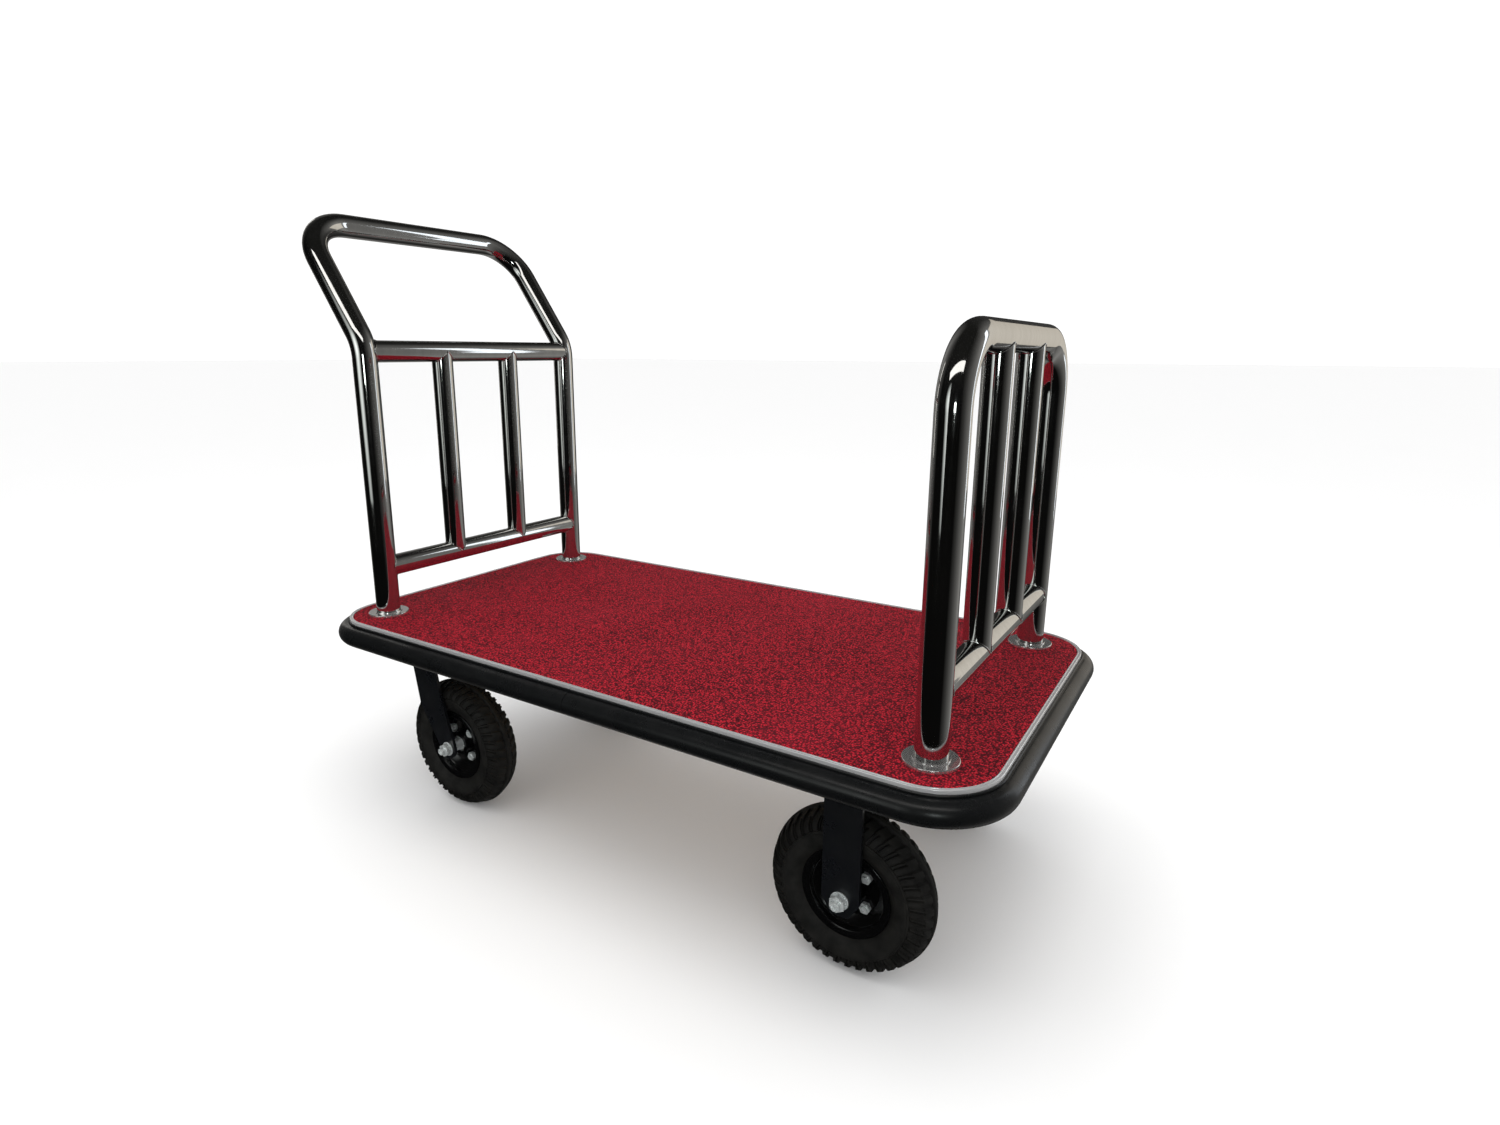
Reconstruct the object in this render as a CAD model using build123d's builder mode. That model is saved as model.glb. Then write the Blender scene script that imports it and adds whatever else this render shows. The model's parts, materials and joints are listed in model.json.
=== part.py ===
from build123d import *
from math import cos, radians, sin
import os

# Platform luggage cart, in millimetres. +Z is up, X runs along the deck from the handle
# (-X) to the low end frame (+X), and the origin is on the floor under the middle of the
# cart's overall box.

# ---- deck ----
deck_length = 1086.0  # carpet that shows, between the trim's inner edges
deck_width = 566.0
deck_corner = 76.0  # corner radius of the carpet that shows
carpet_thick = 6.0
carpet_edge_thick = 4.5  # pressed edge of the carpet, under the trim
board_thick = 15.0
soft_gap = 0.3  # round soft pieces
fit_gap = 0.15  # round rigid pieces of the deck

# ---- edge trim and bumper ----
trim_reach = 5.5  # top flange, from its inner edge out
trim_wall = 1.5
trim_height = 21.0
trim_joint = 0.8  # butt joint at the middle of the near side
bumper_reach = 18.7
bumper_height = 35.0
bumper_drop = 4.5  # from the top of the trim down to the bumper's lip
bumper_lip = 2.6
bumper_lip_height = 3.4
bumper_groove = 0.9
bumper_wall = 3.6
bumper_back_wall = 3.0
bumper_screw_od = 5.0
bumper_screw_head = 9.0
bumper_screw_head_thick = 3.0
bumper_screw_length = 14.0
bumper_screw_lift = 2.0  # above the middle of the frame's web
bumper_screws_long = 6  # per long side
bumper_screws_short = 2  # per short side

# ---- underframe ----
frame_height = 19.0
frame_flange = 30.0
frame_wall = 2.5
member_wall = 3.0
post_member_width = 60.0
caster_member_width = 112.0
middle_member_width = 50.0

# ---- tube frames ----
post_od = 38.0
post_wall = 1.5
post_side_inset = 60.5  # from the long edge of the carpet to a post's axis
handle_inset = 63.0  # from the short edge of the carpet to the handle's posts
end_inset = 71.0
post_hole_gap = 0.5
bend_radius = 76.0
handle_bend_height = 444.0  # all heights of the tube frames are above the carpet
handle_lean = 35.6  # degrees from vertical
handle_arm = 240.0  # along the lean, from the bend to the grip's axis
lean_bend_radius = 70.0
end_height = 453.0
rail_od = 35.0
rail_wall = 1.5
upper_rail_height = 433.0
lower_rail_height = 80.0
weld_gap = 0.1

# ---- post feet ----
flange_od = 64.0
flange_thick = 3.5
flange_collar_height = 1.6
flange_collar_wall = 2.4
flange_round = 1.2
plug_length = 18.0
plug_gap = 0.1
post_bolt_od = 12.0
post_bolt_grip = 14.0  # thread inside the plug
post_bolt_head = 19.0  # across flats
post_bolt_head_thick = 7.5
post_washer_od = 30.0
post_washer_thick = 2.0

# ---- casters ----
caster_inset = 165.0  # from the short edge of the carpet to a caster's axis
caster_side_inset = 79.0
plate_length = 108.0
plate_width = 100.0
plate_thick = 5.0
plate_corner = 8.0
plate_hole_x = 84.0
plate_hole_y = 76.0
caster_bolt_od = 10.0
caster_bolt_head = 16.0
caster_bolt_head_thick = 6.4
caster_nut_thick = 8.0
caster_bolt_tail = 3.0
bolt_hole_gap = 0.25
leg_thick = 5.0
leg_gap = 2.5  # between a tyre's side and a leg
rigid_leg_width = 49.0
rigid_leg_below = 21.0  # below the axle
rigid_leg_chamfer_x = 13.0
rigid_leg_chamfer_z = 21.0
swivel_trail = 48.0
fork_top_thick = 6.0
fork_top_width = 54.0
fork_boss_radius = 17.0
fork_knee_back = 13.0  # behind the swivel axis
fork_knee_back_drop = 70.0  # below the fork's top
fork_knee_front = 40.0
fork_knee_front_drop = 53.0
tyre_top_gap = 28.0  # over the tyre, under the fork's top
race_gap = 17.0  # between the plate and the fork's top
race_radius = 34.0
race_ball_circle = 26.0
race_ball_od = 9.0
race_ball_count = 16
race_clear = 1.4  # between the two races
race_groove_gap = 0.06
kingpin_od = 16.0
kingpin_gap = 0.1
kingpin_hole_gap = 1.0  # round the head, through the cross member
kingpin_head = 24.0
kingpin_head_thick = 8.0
kingpin_washer_gap = 0.3
kingpin_nut_thick = 12.0

# ---- wheels ----
wheel_od = 216.0
tyre_width = 56.0
tyre_wall = 5.0
tread_inset = 3.0  # from the tyre's side in to the tread's edge
tread_bow = 11.0  # from the tread's edge up to the crown
rim_seat_radius = 50.8
rim_flange_radius = 58.0
rim_width = 42.0  # between the flanges' outer faces
rim_wall = 2.2
rim_cone_depth = 10.0  # from the flange's face in to where the dish's cone starts
rim_disc_radius = 39.0
rim_cup_wall = 2.2
rim_cup_lip = 4.5
rim_bolt_circle = 29.0
rim_bolt_count = 4
rim_bolt_od = 8.0
rim_bolt_head = 13.0
rim_bolt_head_thick = 5.3
rim_bolt_nut_thick = 6.5
rim_nut_round = 0.7
tube_foot_gap = 8.0  # over the rim, where the tube is not blown hard
tube_side_gap = 6.5
tube_wall = 1.6
valve_od = 8.0
valve_length = 24.0
valve_side_gap = 1.0  # from the stem to the tyre's bead
bearing_od = 35.0
bearing_width = 11.0
bearing_inner_od = 20.0
bearing_gap = 0.02
thread_gap = 0.02
axle_od = 12.0
axle_gap = 0.05
hub_end_gap = 0.4
axle_head = 19.0
axle_head_thick = 7.5
axle_nut_thick = 12.0
axle_nut_round = 1.4
axle_tail = 2.0

# ---- derived heights ----
axle_z = wheel_od / 2
fork_under_z = wheel_od + tyre_top_gap
fork_top_z = fork_under_z + fork_top_thick
plate_under_z = fork_top_z + race_gap
plate_top_z = plate_under_z + plate_thick
frame_top_z = plate_top_z + frame_height
board_top_z = frame_top_z + board_thick
carpet_top_z = board_top_z + carpet_thick
post_foot_z = plate_top_z + member_wall

# ---- derived plan ----
lean = radians(handle_lean)
bumper_back = trim_reach + soft_gap
bumper_out = bumper_back + bumper_reach
handle_reach = deck_length / 2 - handle_inset + handle_arm * sin(lean) + post_od / 2
deck_reach = deck_length / 2 + bumper_out
deck_x = (max(handle_reach, deck_reach) - deck_reach) / 2
handle_x = deck_x - deck_length / 2 + handle_inset
end_x = deck_x + deck_length / 2 - end_inset
swivel_x = deck_x - deck_length / 2 + caster_inset
rigid_x = deck_x + deck_length / 2 - caster_inset
post_y = deck_width / 2 - post_side_inset
caster_y = deck_width / 2 - caster_side_inset
slat_y = post_y / 3
sides = {"right": -1, "left": 1}  # seen from the handle, looking along +X
post_spots = [(x, side * post_y) for x in (handle_x, end_x) for side in (-1, 1)]
caster_spots = [(x, side * caster_y) for x in (swivel_x, rigid_x) for side in (-1, 1)]
leg_inner = tyre_width / 2 + leg_gap
leg_outer = leg_inner + leg_thick
hex_ratio = 2 / 3**0.5  # corner to corner over across flats

written = []


def write(part, name):
    """Label a finished piece and write it as one STEP file."""
    part.label = name
    export_step(part, f"parts/{name}.step")
    written.append(name)


def deck_outline(grow, mode=Mode.ADD):
    """Rounded rectangle round the deck, grown from the carpet's outline."""
    length = deck_length + 2 * grow
    RectangleRounded(length, deck_width + 2 * grow, deck_corner + grow, mode=mode)


def placed(part, spots):
    """Copies of one solid at several places, as one group of solids."""
    copies = []
    for spot in spots:
        copies += [s.moved(Location(spot)) for s in part.solids()]
    return Compound(children=copies) if len(copies) > 1 else copies[0]


os.makedirs("parts", exist_ok=True)

# ---------------------------------------------------------------- deck
rug_under = trim_reach - trim_wall - soft_gap

with BuildPart() as carpet:
    with BuildSketch(Plane.XY.offset(board_top_z)):
        with Locations((deck_x, 0)):
            deck_outline(rug_under)
    extrude(amount=carpet_edge_thick)
    with BuildSketch(Plane.XY.offset(board_top_z + carpet_edge_thick)):
        with Locations((deck_x, 0)):
            deck_outline(-soft_gap)
    extrude(amount=carpet_thick - carpet_edge_thick)
    with BuildSketch(Plane.XY.offset(board_top_z)):
        with Locations(*post_spots):
            Circle(post_od / 2 + post_hole_gap)
    extrude(amount=carpet_thick, mode=Mode.SUBTRACT)
write(carpet.part, "carpet")

with BuildPart() as deck_board:
    with BuildSketch(Plane.XY.offset(frame_top_z)):
        with Locations((deck_x, 0)):
            deck_outline(trim_reach - trim_wall - fit_gap)
        with Locations(*post_spots):
            Circle(post_od / 2 + post_hole_gap, mode=Mode.SUBTRACT)
    extrude(amount=board_thick)
write(deck_board.part, "deck_board")

trim_flange_z = board_top_z + carpet_edge_thick + soft_gap
trim_top_z = trim_flange_z + trim_wall

with BuildPart() as edge_trim:
    with BuildSketch(Plane.XY.offset(trim_top_z - trim_height)):
        with Locations((deck_x, 0)):
            deck_outline(trim_reach)
            deck_outline(trim_reach - trim_wall, mode=Mode.SUBTRACT)
    extrude(amount=trim_height - trim_wall)
    with BuildSketch(Plane.XY.offset(trim_flange_z)):
        with Locations((deck_x, 0)):
            deck_outline(trim_reach)
            deck_outline(0, mode=Mode.SUBTRACT)
    extrude(amount=trim_wall)
    fillet(edge_trim.edges().group_by(Axis.Z)[-1].group_by(SortBy.LENGTH)[-1], trim_wall / 2)
    with Locations((deck_x, -deck_width / 2, trim_top_z)):
        Box(trim_joint, 4 * trim_reach, 4 * trim_height, mode=Mode.SUBTRACT)
write(edge_trim.part, "edge_trim")

bumper_top_z = trim_top_z - bumper_drop
bumper_low_z = bumper_top_z - bumper_height
bulge_top_z = bumper_top_z - bumper_lip_height
bulge_z = (bulge_top_z + bumper_low_z) / 2
bulge_half = (bulge_top_z - bumper_low_z) / 2
bulge_reach = bumper_reach - bumper_lip
hollow_reach = bumper_reach - bumper_back_wall - bumper_wall
screw_z = plate_top_z + frame_height / 2 + bumper_screw_lift
long_run = deck_length / 2 + bumper_back
short_run = deck_width / 2 + bumper_back
bumper_plane = Plane(
    origin=(deck_x + trim_joint / 2, -short_run, 0), x_dir=(0, -1, 0), z_dir=(-1, 0, 0)
)
# Places of the bumper's screws: each plane's Z axis points out of the deck's side.
screw_planes = []
for number in range(bumper_screws_long):
    along = ((number + 0.5) / bumper_screws_long - 0.5) * (deck_length - 2 * deck_corner)
    for side in (-1, 1):
        spot = (deck_x + along, side * short_run, screw_z)
        screw_planes.append(Plane(origin=spot, x_dir=(1, 0, 0), z_dir=(0, side, 0)))
for number in range(bumper_screws_short):
    across = ((number + 0.5) / bumper_screws_short - 0.5) * (deck_width - 2 * deck_corner)
    for side in (-1, 1):
        spot = (deck_x + side * long_run, across, screw_z)
        screw_planes.append(Plane(origin=spot, x_dir=(0, 1, 0), z_dir=(side, 0, 0)))

with BuildPart() as bumper:
    with BuildLine() as bumper_path:
        FilletPolyline(
            (deck_x + trim_joint / 2, -short_run),
            (deck_x + long_run, -short_run),
            (deck_x + long_run, short_run),
            (deck_x - long_run, short_run),
            (deck_x - long_run, -short_run),
            (deck_x - trim_joint / 2, -short_run),
            radius=deck_corner + bumper_back,
        )
    with BuildSketch(bumper_plane):
        with BuildLine():
            bulge = EllipticalCenterArc(
                (bumper_lip, bulge_z), bulge_reach, bulge_half, start_angle=-90, arc_size=180
            )
            Polyline(
                bulge @ 1,
                (bumper_lip - bumper_groove, bulge_top_z + bumper_groove / 2),
                (bumper_lip, bulge_top_z + bumper_groove),
                (bumper_lip, bumper_top_z - bumper_groove),
                (bumper_lip - bumper_groove, bumper_top_z),
                (0, bumper_top_z),
                (0, bumper_low_z),
                bulge @ 0,
            )
        make_face()
        with BuildLine():
            hollow = EllipticalCenterArc(
                (bumper_back_wall, bulge_z),
                hollow_reach,
                bulge_half - bumper_wall,
                start_angle=-90,
                arc_size=180,
            )
            Line(hollow @ 1, hollow @ 0)
        make_face(mode=Mode.SUBTRACT)
    sweep(path=bumper_path.wire())
    for plane in screw_planes:
        with BuildSketch(plane):
            Circle(bumper_screw_od / 2 + soft_gap)
        extrude(amount=bumper_back_wall, mode=Mode.SUBTRACT)
write(bumper.part, "bumper")

with BuildPart() as bumper_screws:
    for plane in screw_planes:
        with BuildSketch(plane.offset(bumper_back_wall + soft_gap)):
            Circle(bumper_screw_head / 2)
        extrude(amount=bumper_screw_head_thick)
        with BuildSketch(plane.offset(bumper_back_wall + soft_gap)):
            Circle(bumper_screw_od / 2)
        extrude(amount=-bumper_screw_length)
write(bumper_screws.part, "bumper_screws")

# ---------------------------------------------------------------- underframe
with BuildPart() as frame_ring:
    for low_z, thick, reach in (
        (plate_top_z, frame_wall, frame_flange),
        (plate_top_z, frame_height, frame_wall),
        (frame_top_z - frame_wall, frame_wall, frame_flange),
    ):
        with BuildSketch(Plane.XY.offset(low_z)):
            with Locations((deck_x, 0)):
                deck_outline(trim_reach)
                deck_outline(trim_reach - reach, mode=Mode.SUBTRACT)
        extrude(amount=thick)
    for plane in screw_planes:
        with BuildSketch(plane):
            Circle(bumper_screw_od / 2 + bolt_hole_gap)
        extrude(amount=-2 * frame_wall, mode=Mode.SUBTRACT)
write(frame_ring.part, "frame_ring")

members = [
    (handle_x, post_member_width),
    (swivel_x, caster_member_width),
    (deck_x, middle_member_width),
    (rigid_x, caster_member_width),
    (end_x, post_member_width),
]

with BuildPart() as cross_members:
    for x, width in members:
        for low_z, thick, wall in (
            (plate_top_z, member_wall, 0),
            (plate_top_z, frame_height, member_wall),
        ):
            with BuildSketch(Plane.XY.offset(low_z)):
                with Locations((deck_x, 0)):
                    deck_outline(trim_reach - frame_flange - weld_gap)
                with Locations((x, 0)):
                    Rectangle(width, deck_width, mode=Mode.INTERSECT)
                    if wall:
                        Rectangle(width - 2 * wall, deck_width, mode=Mode.SUBTRACT)
            extrude(amount=thick)
    with BuildSketch(Plane.XY.offset(plate_top_z)):
        with Locations(*post_spots):
            Circle(post_bolt_od / 2 + bolt_hole_gap)
        for x, y in caster_spots:
            with Locations((x, y)):
                with GridLocations(plate_hole_x, plate_hole_y, 2, 2):
                    Circle(caster_bolt_od / 2 + bolt_hole_gap)
                if x == swivel_x:
                    Circle(kingpin_head * hex_ratio / 2 + kingpin_hole_gap)
    extrude(amount=member_wall, mode=Mode.SUBTRACT)
write(cross_members.part, "cross_members")

# ---------------------------------------------------------------- tube frames
bend_z = carpet_top_z + handle_bend_height
grip_x = handle_x - handle_arm * sin(lean)
grip_z = bend_z + handle_arm * cos(lean)
end_top_z = carpet_top_z + end_height
upper_rail_z = carpet_top_z + upper_rail_height
lower_rail_z = carpet_top_z + lower_rail_height


def bent_tube(corners, radii, outer, inner=0):
    """Round tube or rod along a line of corners, from a foot on the right to the left."""
    with BuildPart() as tube:
        with BuildLine() as path:
            FilletPolyline(*corners, radius=radii)
        with BuildSketch(Plane(origin=corners[0])):
            Circle(outer)
            if inner:
                Circle(inner, mode=Mode.SUBTRACT)
        sweep(path=path.wire())
    return tube.part


def rail_tube(x, z, loop_rod):
    """Cross tube coped to the two posts of a frame."""
    with BuildPart() as rail:
        with BuildSketch(Plane(origin=(x, -post_y, z), x_dir=(1, 0, 0), z_dir=(0, 1, 0))):
            Circle(rail_od / 2)
            Circle(rail_od / 2 - rail_wall, mode=Mode.SUBTRACT)
        extrude(amount=2 * post_y)
        add(loop_rod, mode=Mode.SUBTRACT)
    return rail.part


def slat_tubes(x, low_z, high_z, low_od, high_od):
    """Two upright tubes coped to the tubes below and above them."""
    with BuildPart() as slats:
        with BuildSketch(Plane.XY.offset(low_z)):
            with Locations((x, -slat_y), (x, slat_y)):
                Circle(rail_od / 2)
                Circle(rail_od / 2 - rail_wall, mode=Mode.SUBTRACT)
        extrude(amount=high_z - low_z)
        for z, od in ((low_z, low_od), (high_z, high_od)):
            with BuildSketch(Plane(origin=(x, -post_y, z), x_dir=(1, 0, 0), z_dir=(0, 1, 0))):
                Circle(od / 2 + weld_gap)
            extrude(amount=2 * post_y, mode=Mode.SUBTRACT)
    return slats.part


handle_corners = [
    (handle_x, -post_y, post_foot_z),
    (handle_x, -post_y, bend_z),
    (grip_x, -post_y, grip_z),
    (grip_x, post_y, grip_z),
    (handle_x, post_y, bend_z),
    (handle_x, post_y, post_foot_z),
]
handle_radii = [lean_bend_radius, bend_radius, bend_radius, lean_bend_radius]
end_corners = [
    (end_x, -post_y, post_foot_z),
    (end_x, -post_y, end_top_z),
    (end_x, post_y, end_top_z),
    (end_x, post_y, post_foot_z),
]
end_radii = [bend_radius, bend_radius]
post_radius = post_od / 2
handle_rod = bent_tube(handle_corners, handle_radii, post_radius + weld_gap)
end_rod = bent_tube(end_corners, end_radii, post_radius + weld_gap)
handle_loop = bent_tube(handle_corners, handle_radii, post_radius, post_radius - post_wall)
end_loop = bent_tube(end_corners, end_radii, post_radius, post_radius - post_wall)
write(handle_loop, "handle_loop")
write(rail_tube(handle_x, upper_rail_z, handle_rod), "handle_rail_upper")
write(rail_tube(handle_x, lower_rail_z, handle_rod), "handle_rail_lower")
write(slat_tubes(handle_x, lower_rail_z, upper_rail_z, rail_od, rail_od), "handle_slats")
write(end_loop, "end_loop")
write(rail_tube(end_x, lower_rail_z, end_rod), "end_rail")
write(slat_tubes(end_x, lower_rail_z, end_top_z, rail_od, post_od), "end_slats")

# ---------------------------------------------------------------- post feet
with BuildPart() as post_flanges:
    with BuildSketch(Plane.XY.offset(carpet_top_z)):
        with Locations(*post_spots):
            Circle(flange_od / 2)
    extrude(amount=flange_thick)
    fillet(post_flanges.edges().group_by(Axis.Z)[-1], flange_round)
    with BuildSketch(Plane.XY.offset(carpet_top_z)):
        with Locations(*post_spots):
            Circle(post_od / 2 + flange_collar_wall)
    extrude(amount=flange_thick + flange_collar_height)
    with BuildSketch(Plane.XY.offset(carpet_top_z)):
        with Locations(*post_spots):
            Circle(post_od / 2 + fit_gap)
    extrude(amount=flange_thick + flange_collar_height, mode=Mode.SUBTRACT)
write(post_flanges.part, "post_flanges")

with BuildPart() as post_plugs:
    with BuildSketch(Plane.XY.offset(post_foot_z)):
        with Locations(*post_spots):
            Circle(post_od / 2 - post_wall - plug_gap)
            Circle(post_bolt_od / 2 + thread_gap, mode=Mode.SUBTRACT)
    extrude(amount=plug_length)
write(post_plugs.part, "post_plugs")

post_washer_z = plate_top_z - post_washer_thick

with BuildPart() as post_washers:
    with BuildSketch(Plane.XY.offset(post_washer_z)):
        with Locations(*post_spots):
            Circle(post_washer_od / 2)
            Circle(post_bolt_od / 2 + bolt_hole_gap, mode=Mode.SUBTRACT)
    extrude(amount=post_washer_thick)
write(post_washers.part, "post_washers")


def hex_head(plane, spots, flats, thick):
    """Hexagonal heads standing on a plane, into the part that is being built."""
    with BuildSketch(plane) as heads:
        with Locations(*spots):
            RegularPolygon(flats / 2, 6, major_radius=False)
    extrude(heads.sketch, amount=thick)


with BuildPart() as post_bolts:
    hex_head(Plane.XY.offset(post_washer_z - post_bolt_head_thick), post_spots,
             post_bolt_head, post_bolt_head_thick)
    with BuildSketch(Plane.XY.offset(post_washer_z)):
        with Locations(*post_spots):
            Circle(post_bolt_od / 2)
    extrude(amount=post_washer_thick + member_wall + post_bolt_grip)
write(post_bolts.part, "post_bolts")

# ---------------------------------------------------------------- casters
# Each caster is modelled on the right side (-Y) and mirrored for the left side.
along_deck = {"swivel": swivel_x, "rigid": rigid_x}
race_mid_z = (fork_top_z + plate_under_z) / 2
kingpin_top_z = plate_top_z + kingpin_head_thick
kingpin_nut_z = fork_under_z - kingpin_washer_gap - kingpin_nut_thick
axle_x = swivel_x + swivel_trail


def write_sides(part, name):
    """Write a right-hand piece, and its mirror image for the left side."""
    write(part, f"{name}_right")
    write(mirror(part, about=Plane.XZ), f"{name}_left")


def both_sides(part):
    """A right-hand piece and its mirror image as one group of solids."""
    return Compound(children=part.solids() + mirror(part, about=Plane.XZ).solids())


def top_plate(x):
    """Caster plate with its four bolt holes."""
    with BuildPart() as plate:
        with BuildSketch(Plane.XY.offset(plate_under_z)):
            with Locations((x, -caster_y)):
                RectangleRounded(plate_length, plate_width, plate_corner)
                with GridLocations(plate_hole_x, plate_hole_y, 2, 2):
                    Circle(caster_bolt_od / 2 + bolt_hole_gap, mode=Mode.SUBTRACT)
        extrude(amount=plate_thick)
    return plate.part


def ball_groove(x):
    """Ring that the ball track cuts from a race."""
    with BuildPart(mode=Mode.PRIVATE) as groove:
        with BuildSketch(Plane((x, -caster_y, race_mid_z), (1, 0, 0), (0, -1, 0))):
            with Locations((race_ball_circle, 0)):
                Circle(race_ball_od / 2 + race_groove_gap)
        revolve(axis=Axis((x, -caster_y, race_mid_z), (0, 0, 1)))
    return groove.part


track = ball_groove(swivel_x)

with BuildPart() as swivel_plate:
    add(top_plate(swivel_x))
    with BuildSketch(Plane.XY.offset(race_mid_z + race_clear / 2)):
        with Locations((swivel_x, -caster_y)):
            Circle(race_radius)
    extrude(amount=plate_under_z - race_mid_z - race_clear / 2)
    with BuildSketch(Plane.XY.offset(fork_top_z)):
        with Locations((swivel_x, -caster_y)):
            Circle(kingpin_od / 2 + kingpin_gap)
    extrude(amount=plate_top_z - fork_top_z, mode=Mode.SUBTRACT)
    add(track, mode=Mode.SUBTRACT)
write_sides(swivel_plate.part, "swivel_plate")

with BuildPart() as swivel_balls:
    with Locations((swivel_x, -caster_y, race_mid_z)):
        with PolarLocations(race_ball_circle, race_ball_count):
            Sphere(race_ball_od / 2)
write(both_sides(swivel_balls.part), "swivel_balls")

with BuildPart() as kingpin:
    hex_head(Plane.XY.offset(plate_top_z), [(swivel_x, -caster_y)],
             kingpin_head, kingpin_head_thick)
    with BuildSketch(Plane.XY.offset(kingpin_nut_z - axle_tail)):
        with Locations((swivel_x, -caster_y)):
            Circle(kingpin_od / 2)
    extrude(amount=plate_top_z - kingpin_nut_z + axle_tail)
write(both_sides(kingpin.part), "kingpins")

with BuildPart() as kingpin_nut:
    hex_head(Plane.XY.offset(kingpin_nut_z), [(swivel_x, -caster_y)],
             kingpin_head, kingpin_nut_thick)
    with BuildSketch(Plane.XY.offset(kingpin_nut_z)):
        with Locations((swivel_x, -caster_y)):
            Circle(kingpin_od / 2 + thread_gap)
    extrude(amount=kingpin_nut_thick, mode=Mode.SUBTRACT)
write(both_sides(kingpin_nut.part), "kingpin_nuts")

# Outline of a fork's leg, from the swivel axis: it widens the trail in two slopes.
leg_top = fork_top_width / 2
leg_knee_back = (-fork_knee_back, fork_under_z - fork_knee_back_drop)
leg_knee_front = (fork_knee_front, fork_under_z - fork_knee_front_drop)

with BuildPart() as fork:
    with BuildSketch(Plane.XY.offset(fork_under_z)):
        with Locations((swivel_x, -caster_y)):
            Rectangle(fork_top_width, 2 * leg_outer)
            Circle(race_radius)
    extrude(amount=fork_top_thick)
    with BuildSketch(Plane.XY.offset(fork_top_z)):
        with Locations((swivel_x, -caster_y)):
            Circle(race_radius)
    extrude(amount=race_mid_z - race_clear / 2 - fork_top_z)
    for leg_y in (-caster_y - leg_inner, -caster_y + leg_outer):
        leg_plane = Plane(origin=(swivel_x, leg_y, 0), x_dir=(1, 0, 0), z_dir=(0, -1, 0))
        with BuildSketch(leg_plane):
            with BuildLine():
                Polyline(
                    (-leg_top, fork_top_z),
                    leg_knee_back,
                    leg_knee_front,
                    (leg_top, fork_top_z),
                    close=True,
                )
            make_face()
            with BuildSketch() as lower_leg:
                with Locations((swivel_trail, axle_z)):
                    Circle(fork_boss_radius)
                with BuildLine():
                    Line(leg_knee_back, leg_knee_front)
                make_hull()
            with Locations((swivel_trail, axle_z)):
                Circle(axle_od / 2 + thread_gap, mode=Mode.SUBTRACT)
        extrude(amount=leg_thick)
    with BuildSketch(Plane.XY.offset(fork_under_z)):
        with Locations((swivel_x, -caster_y)):
            Circle(kingpin_od / 2 + kingpin_gap)
    extrude(amount=plate_under_z - fork_under_z, mode=Mode.SUBTRACT)
    add(track, mode=Mode.SUBTRACT)
write_sides(fork.part, "fork")

with BuildPart() as rigid_bracket:
    add(top_plate(rigid_x))
    for leg_y in (-caster_y - leg_inner, -caster_y + leg_outer):
        leg_plane = Plane(origin=(rigid_x, leg_y, axle_z), x_dir=(1, 0, 0), z_dir=(0, -1, 0))
        with BuildSketch(leg_plane):
            with BuildLine():
                Polyline(
                    (-rigid_leg_width / 2, plate_under_z - axle_z),
                    (-rigid_leg_width / 2, rigid_leg_chamfer_z - rigid_leg_below),
                    (rigid_leg_chamfer_x - rigid_leg_width / 2, -rigid_leg_below),
                    (rigid_leg_width / 2 - rigid_leg_chamfer_x, -rigid_leg_below),
                    (rigid_leg_width / 2, rigid_leg_chamfer_z - rigid_leg_below),
                    (rigid_leg_width / 2, plate_under_z - axle_z),
                    close=True,
                )
            make_face()
            Circle(axle_od / 2 + thread_gap, mode=Mode.SUBTRACT)
        extrude(amount=leg_thick)
write_sides(rigid_bracket.part, "rigid_bracket")

# ---------------------------------------------------------------- axles
def nut_solid(flats, bore, thick, round_edge):
    """Nut on its side, its outer end rounded, from the XZ plane towards -Y."""
    with BuildPart() as nut:
        with BuildSketch(Plane.XZ):
            RegularPolygon(flats / 2, 6, major_radius=False)
            Circle(bore / 2, mode=Mode.SUBTRACT)
        extrude(amount=thick - round_edge)
        with BuildSketch(Plane.XZ.offset(thick - round_edge)):
            Circle(flats / 2 - round_edge)
            Circle(bore / 2, mode=Mode.SUBTRACT)
        extrude(amount=round_edge)
    return nut.part


with BuildPart() as axle_bolt:
    with BuildSketch(Plane.XZ.offset(-leg_outer)):
        RegularPolygon(axle_head / 2, 6, major_radius=False)
    extrude(amount=-axle_head_thick)
    with BuildSketch(Plane.XZ.offset(-leg_outer)):
        Circle(axle_od / 2)
    extrude(amount=2 * leg_outer + axle_nut_thick + axle_tail)

axle_nut = nut_solid(axle_head, axle_od + 2 * thread_gap, axle_nut_thick, axle_nut_round)
swivel_axle_spot = [(axle_x, -caster_y, axle_z)]
rigid_axle_spot = [(rigid_x, -caster_y, axle_z)]
swivel_nut_spot = [(axle_x, -caster_y - leg_outer, axle_z)]
rigid_nut_spot = [(rigid_x, -caster_y - leg_outer, axle_z)]
write_sides(placed(axle_bolt.part, swivel_axle_spot), "fork_axle_bolt")
write_sides(placed(axle_nut, swivel_nut_spot), "fork_axle_nut")
write(both_sides(placed(axle_bolt.part, rigid_axle_spot)), "rigid_axle_bolts")
write(both_sides(placed(axle_nut, rigid_nut_spot)), "rigid_axle_nuts")

# ---------------------------------------------------------------- caster bolts
caster_hole_spots = [
    (x + step_x * plate_hole_x / 2, -caster_y + step_y * plate_hole_y / 2)
    for x in (swivel_x, rigid_x)
    for step_x in (-1, 1)
    for step_y in (-1, 1)
]
member_top_z = plate_top_z + member_wall

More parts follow.
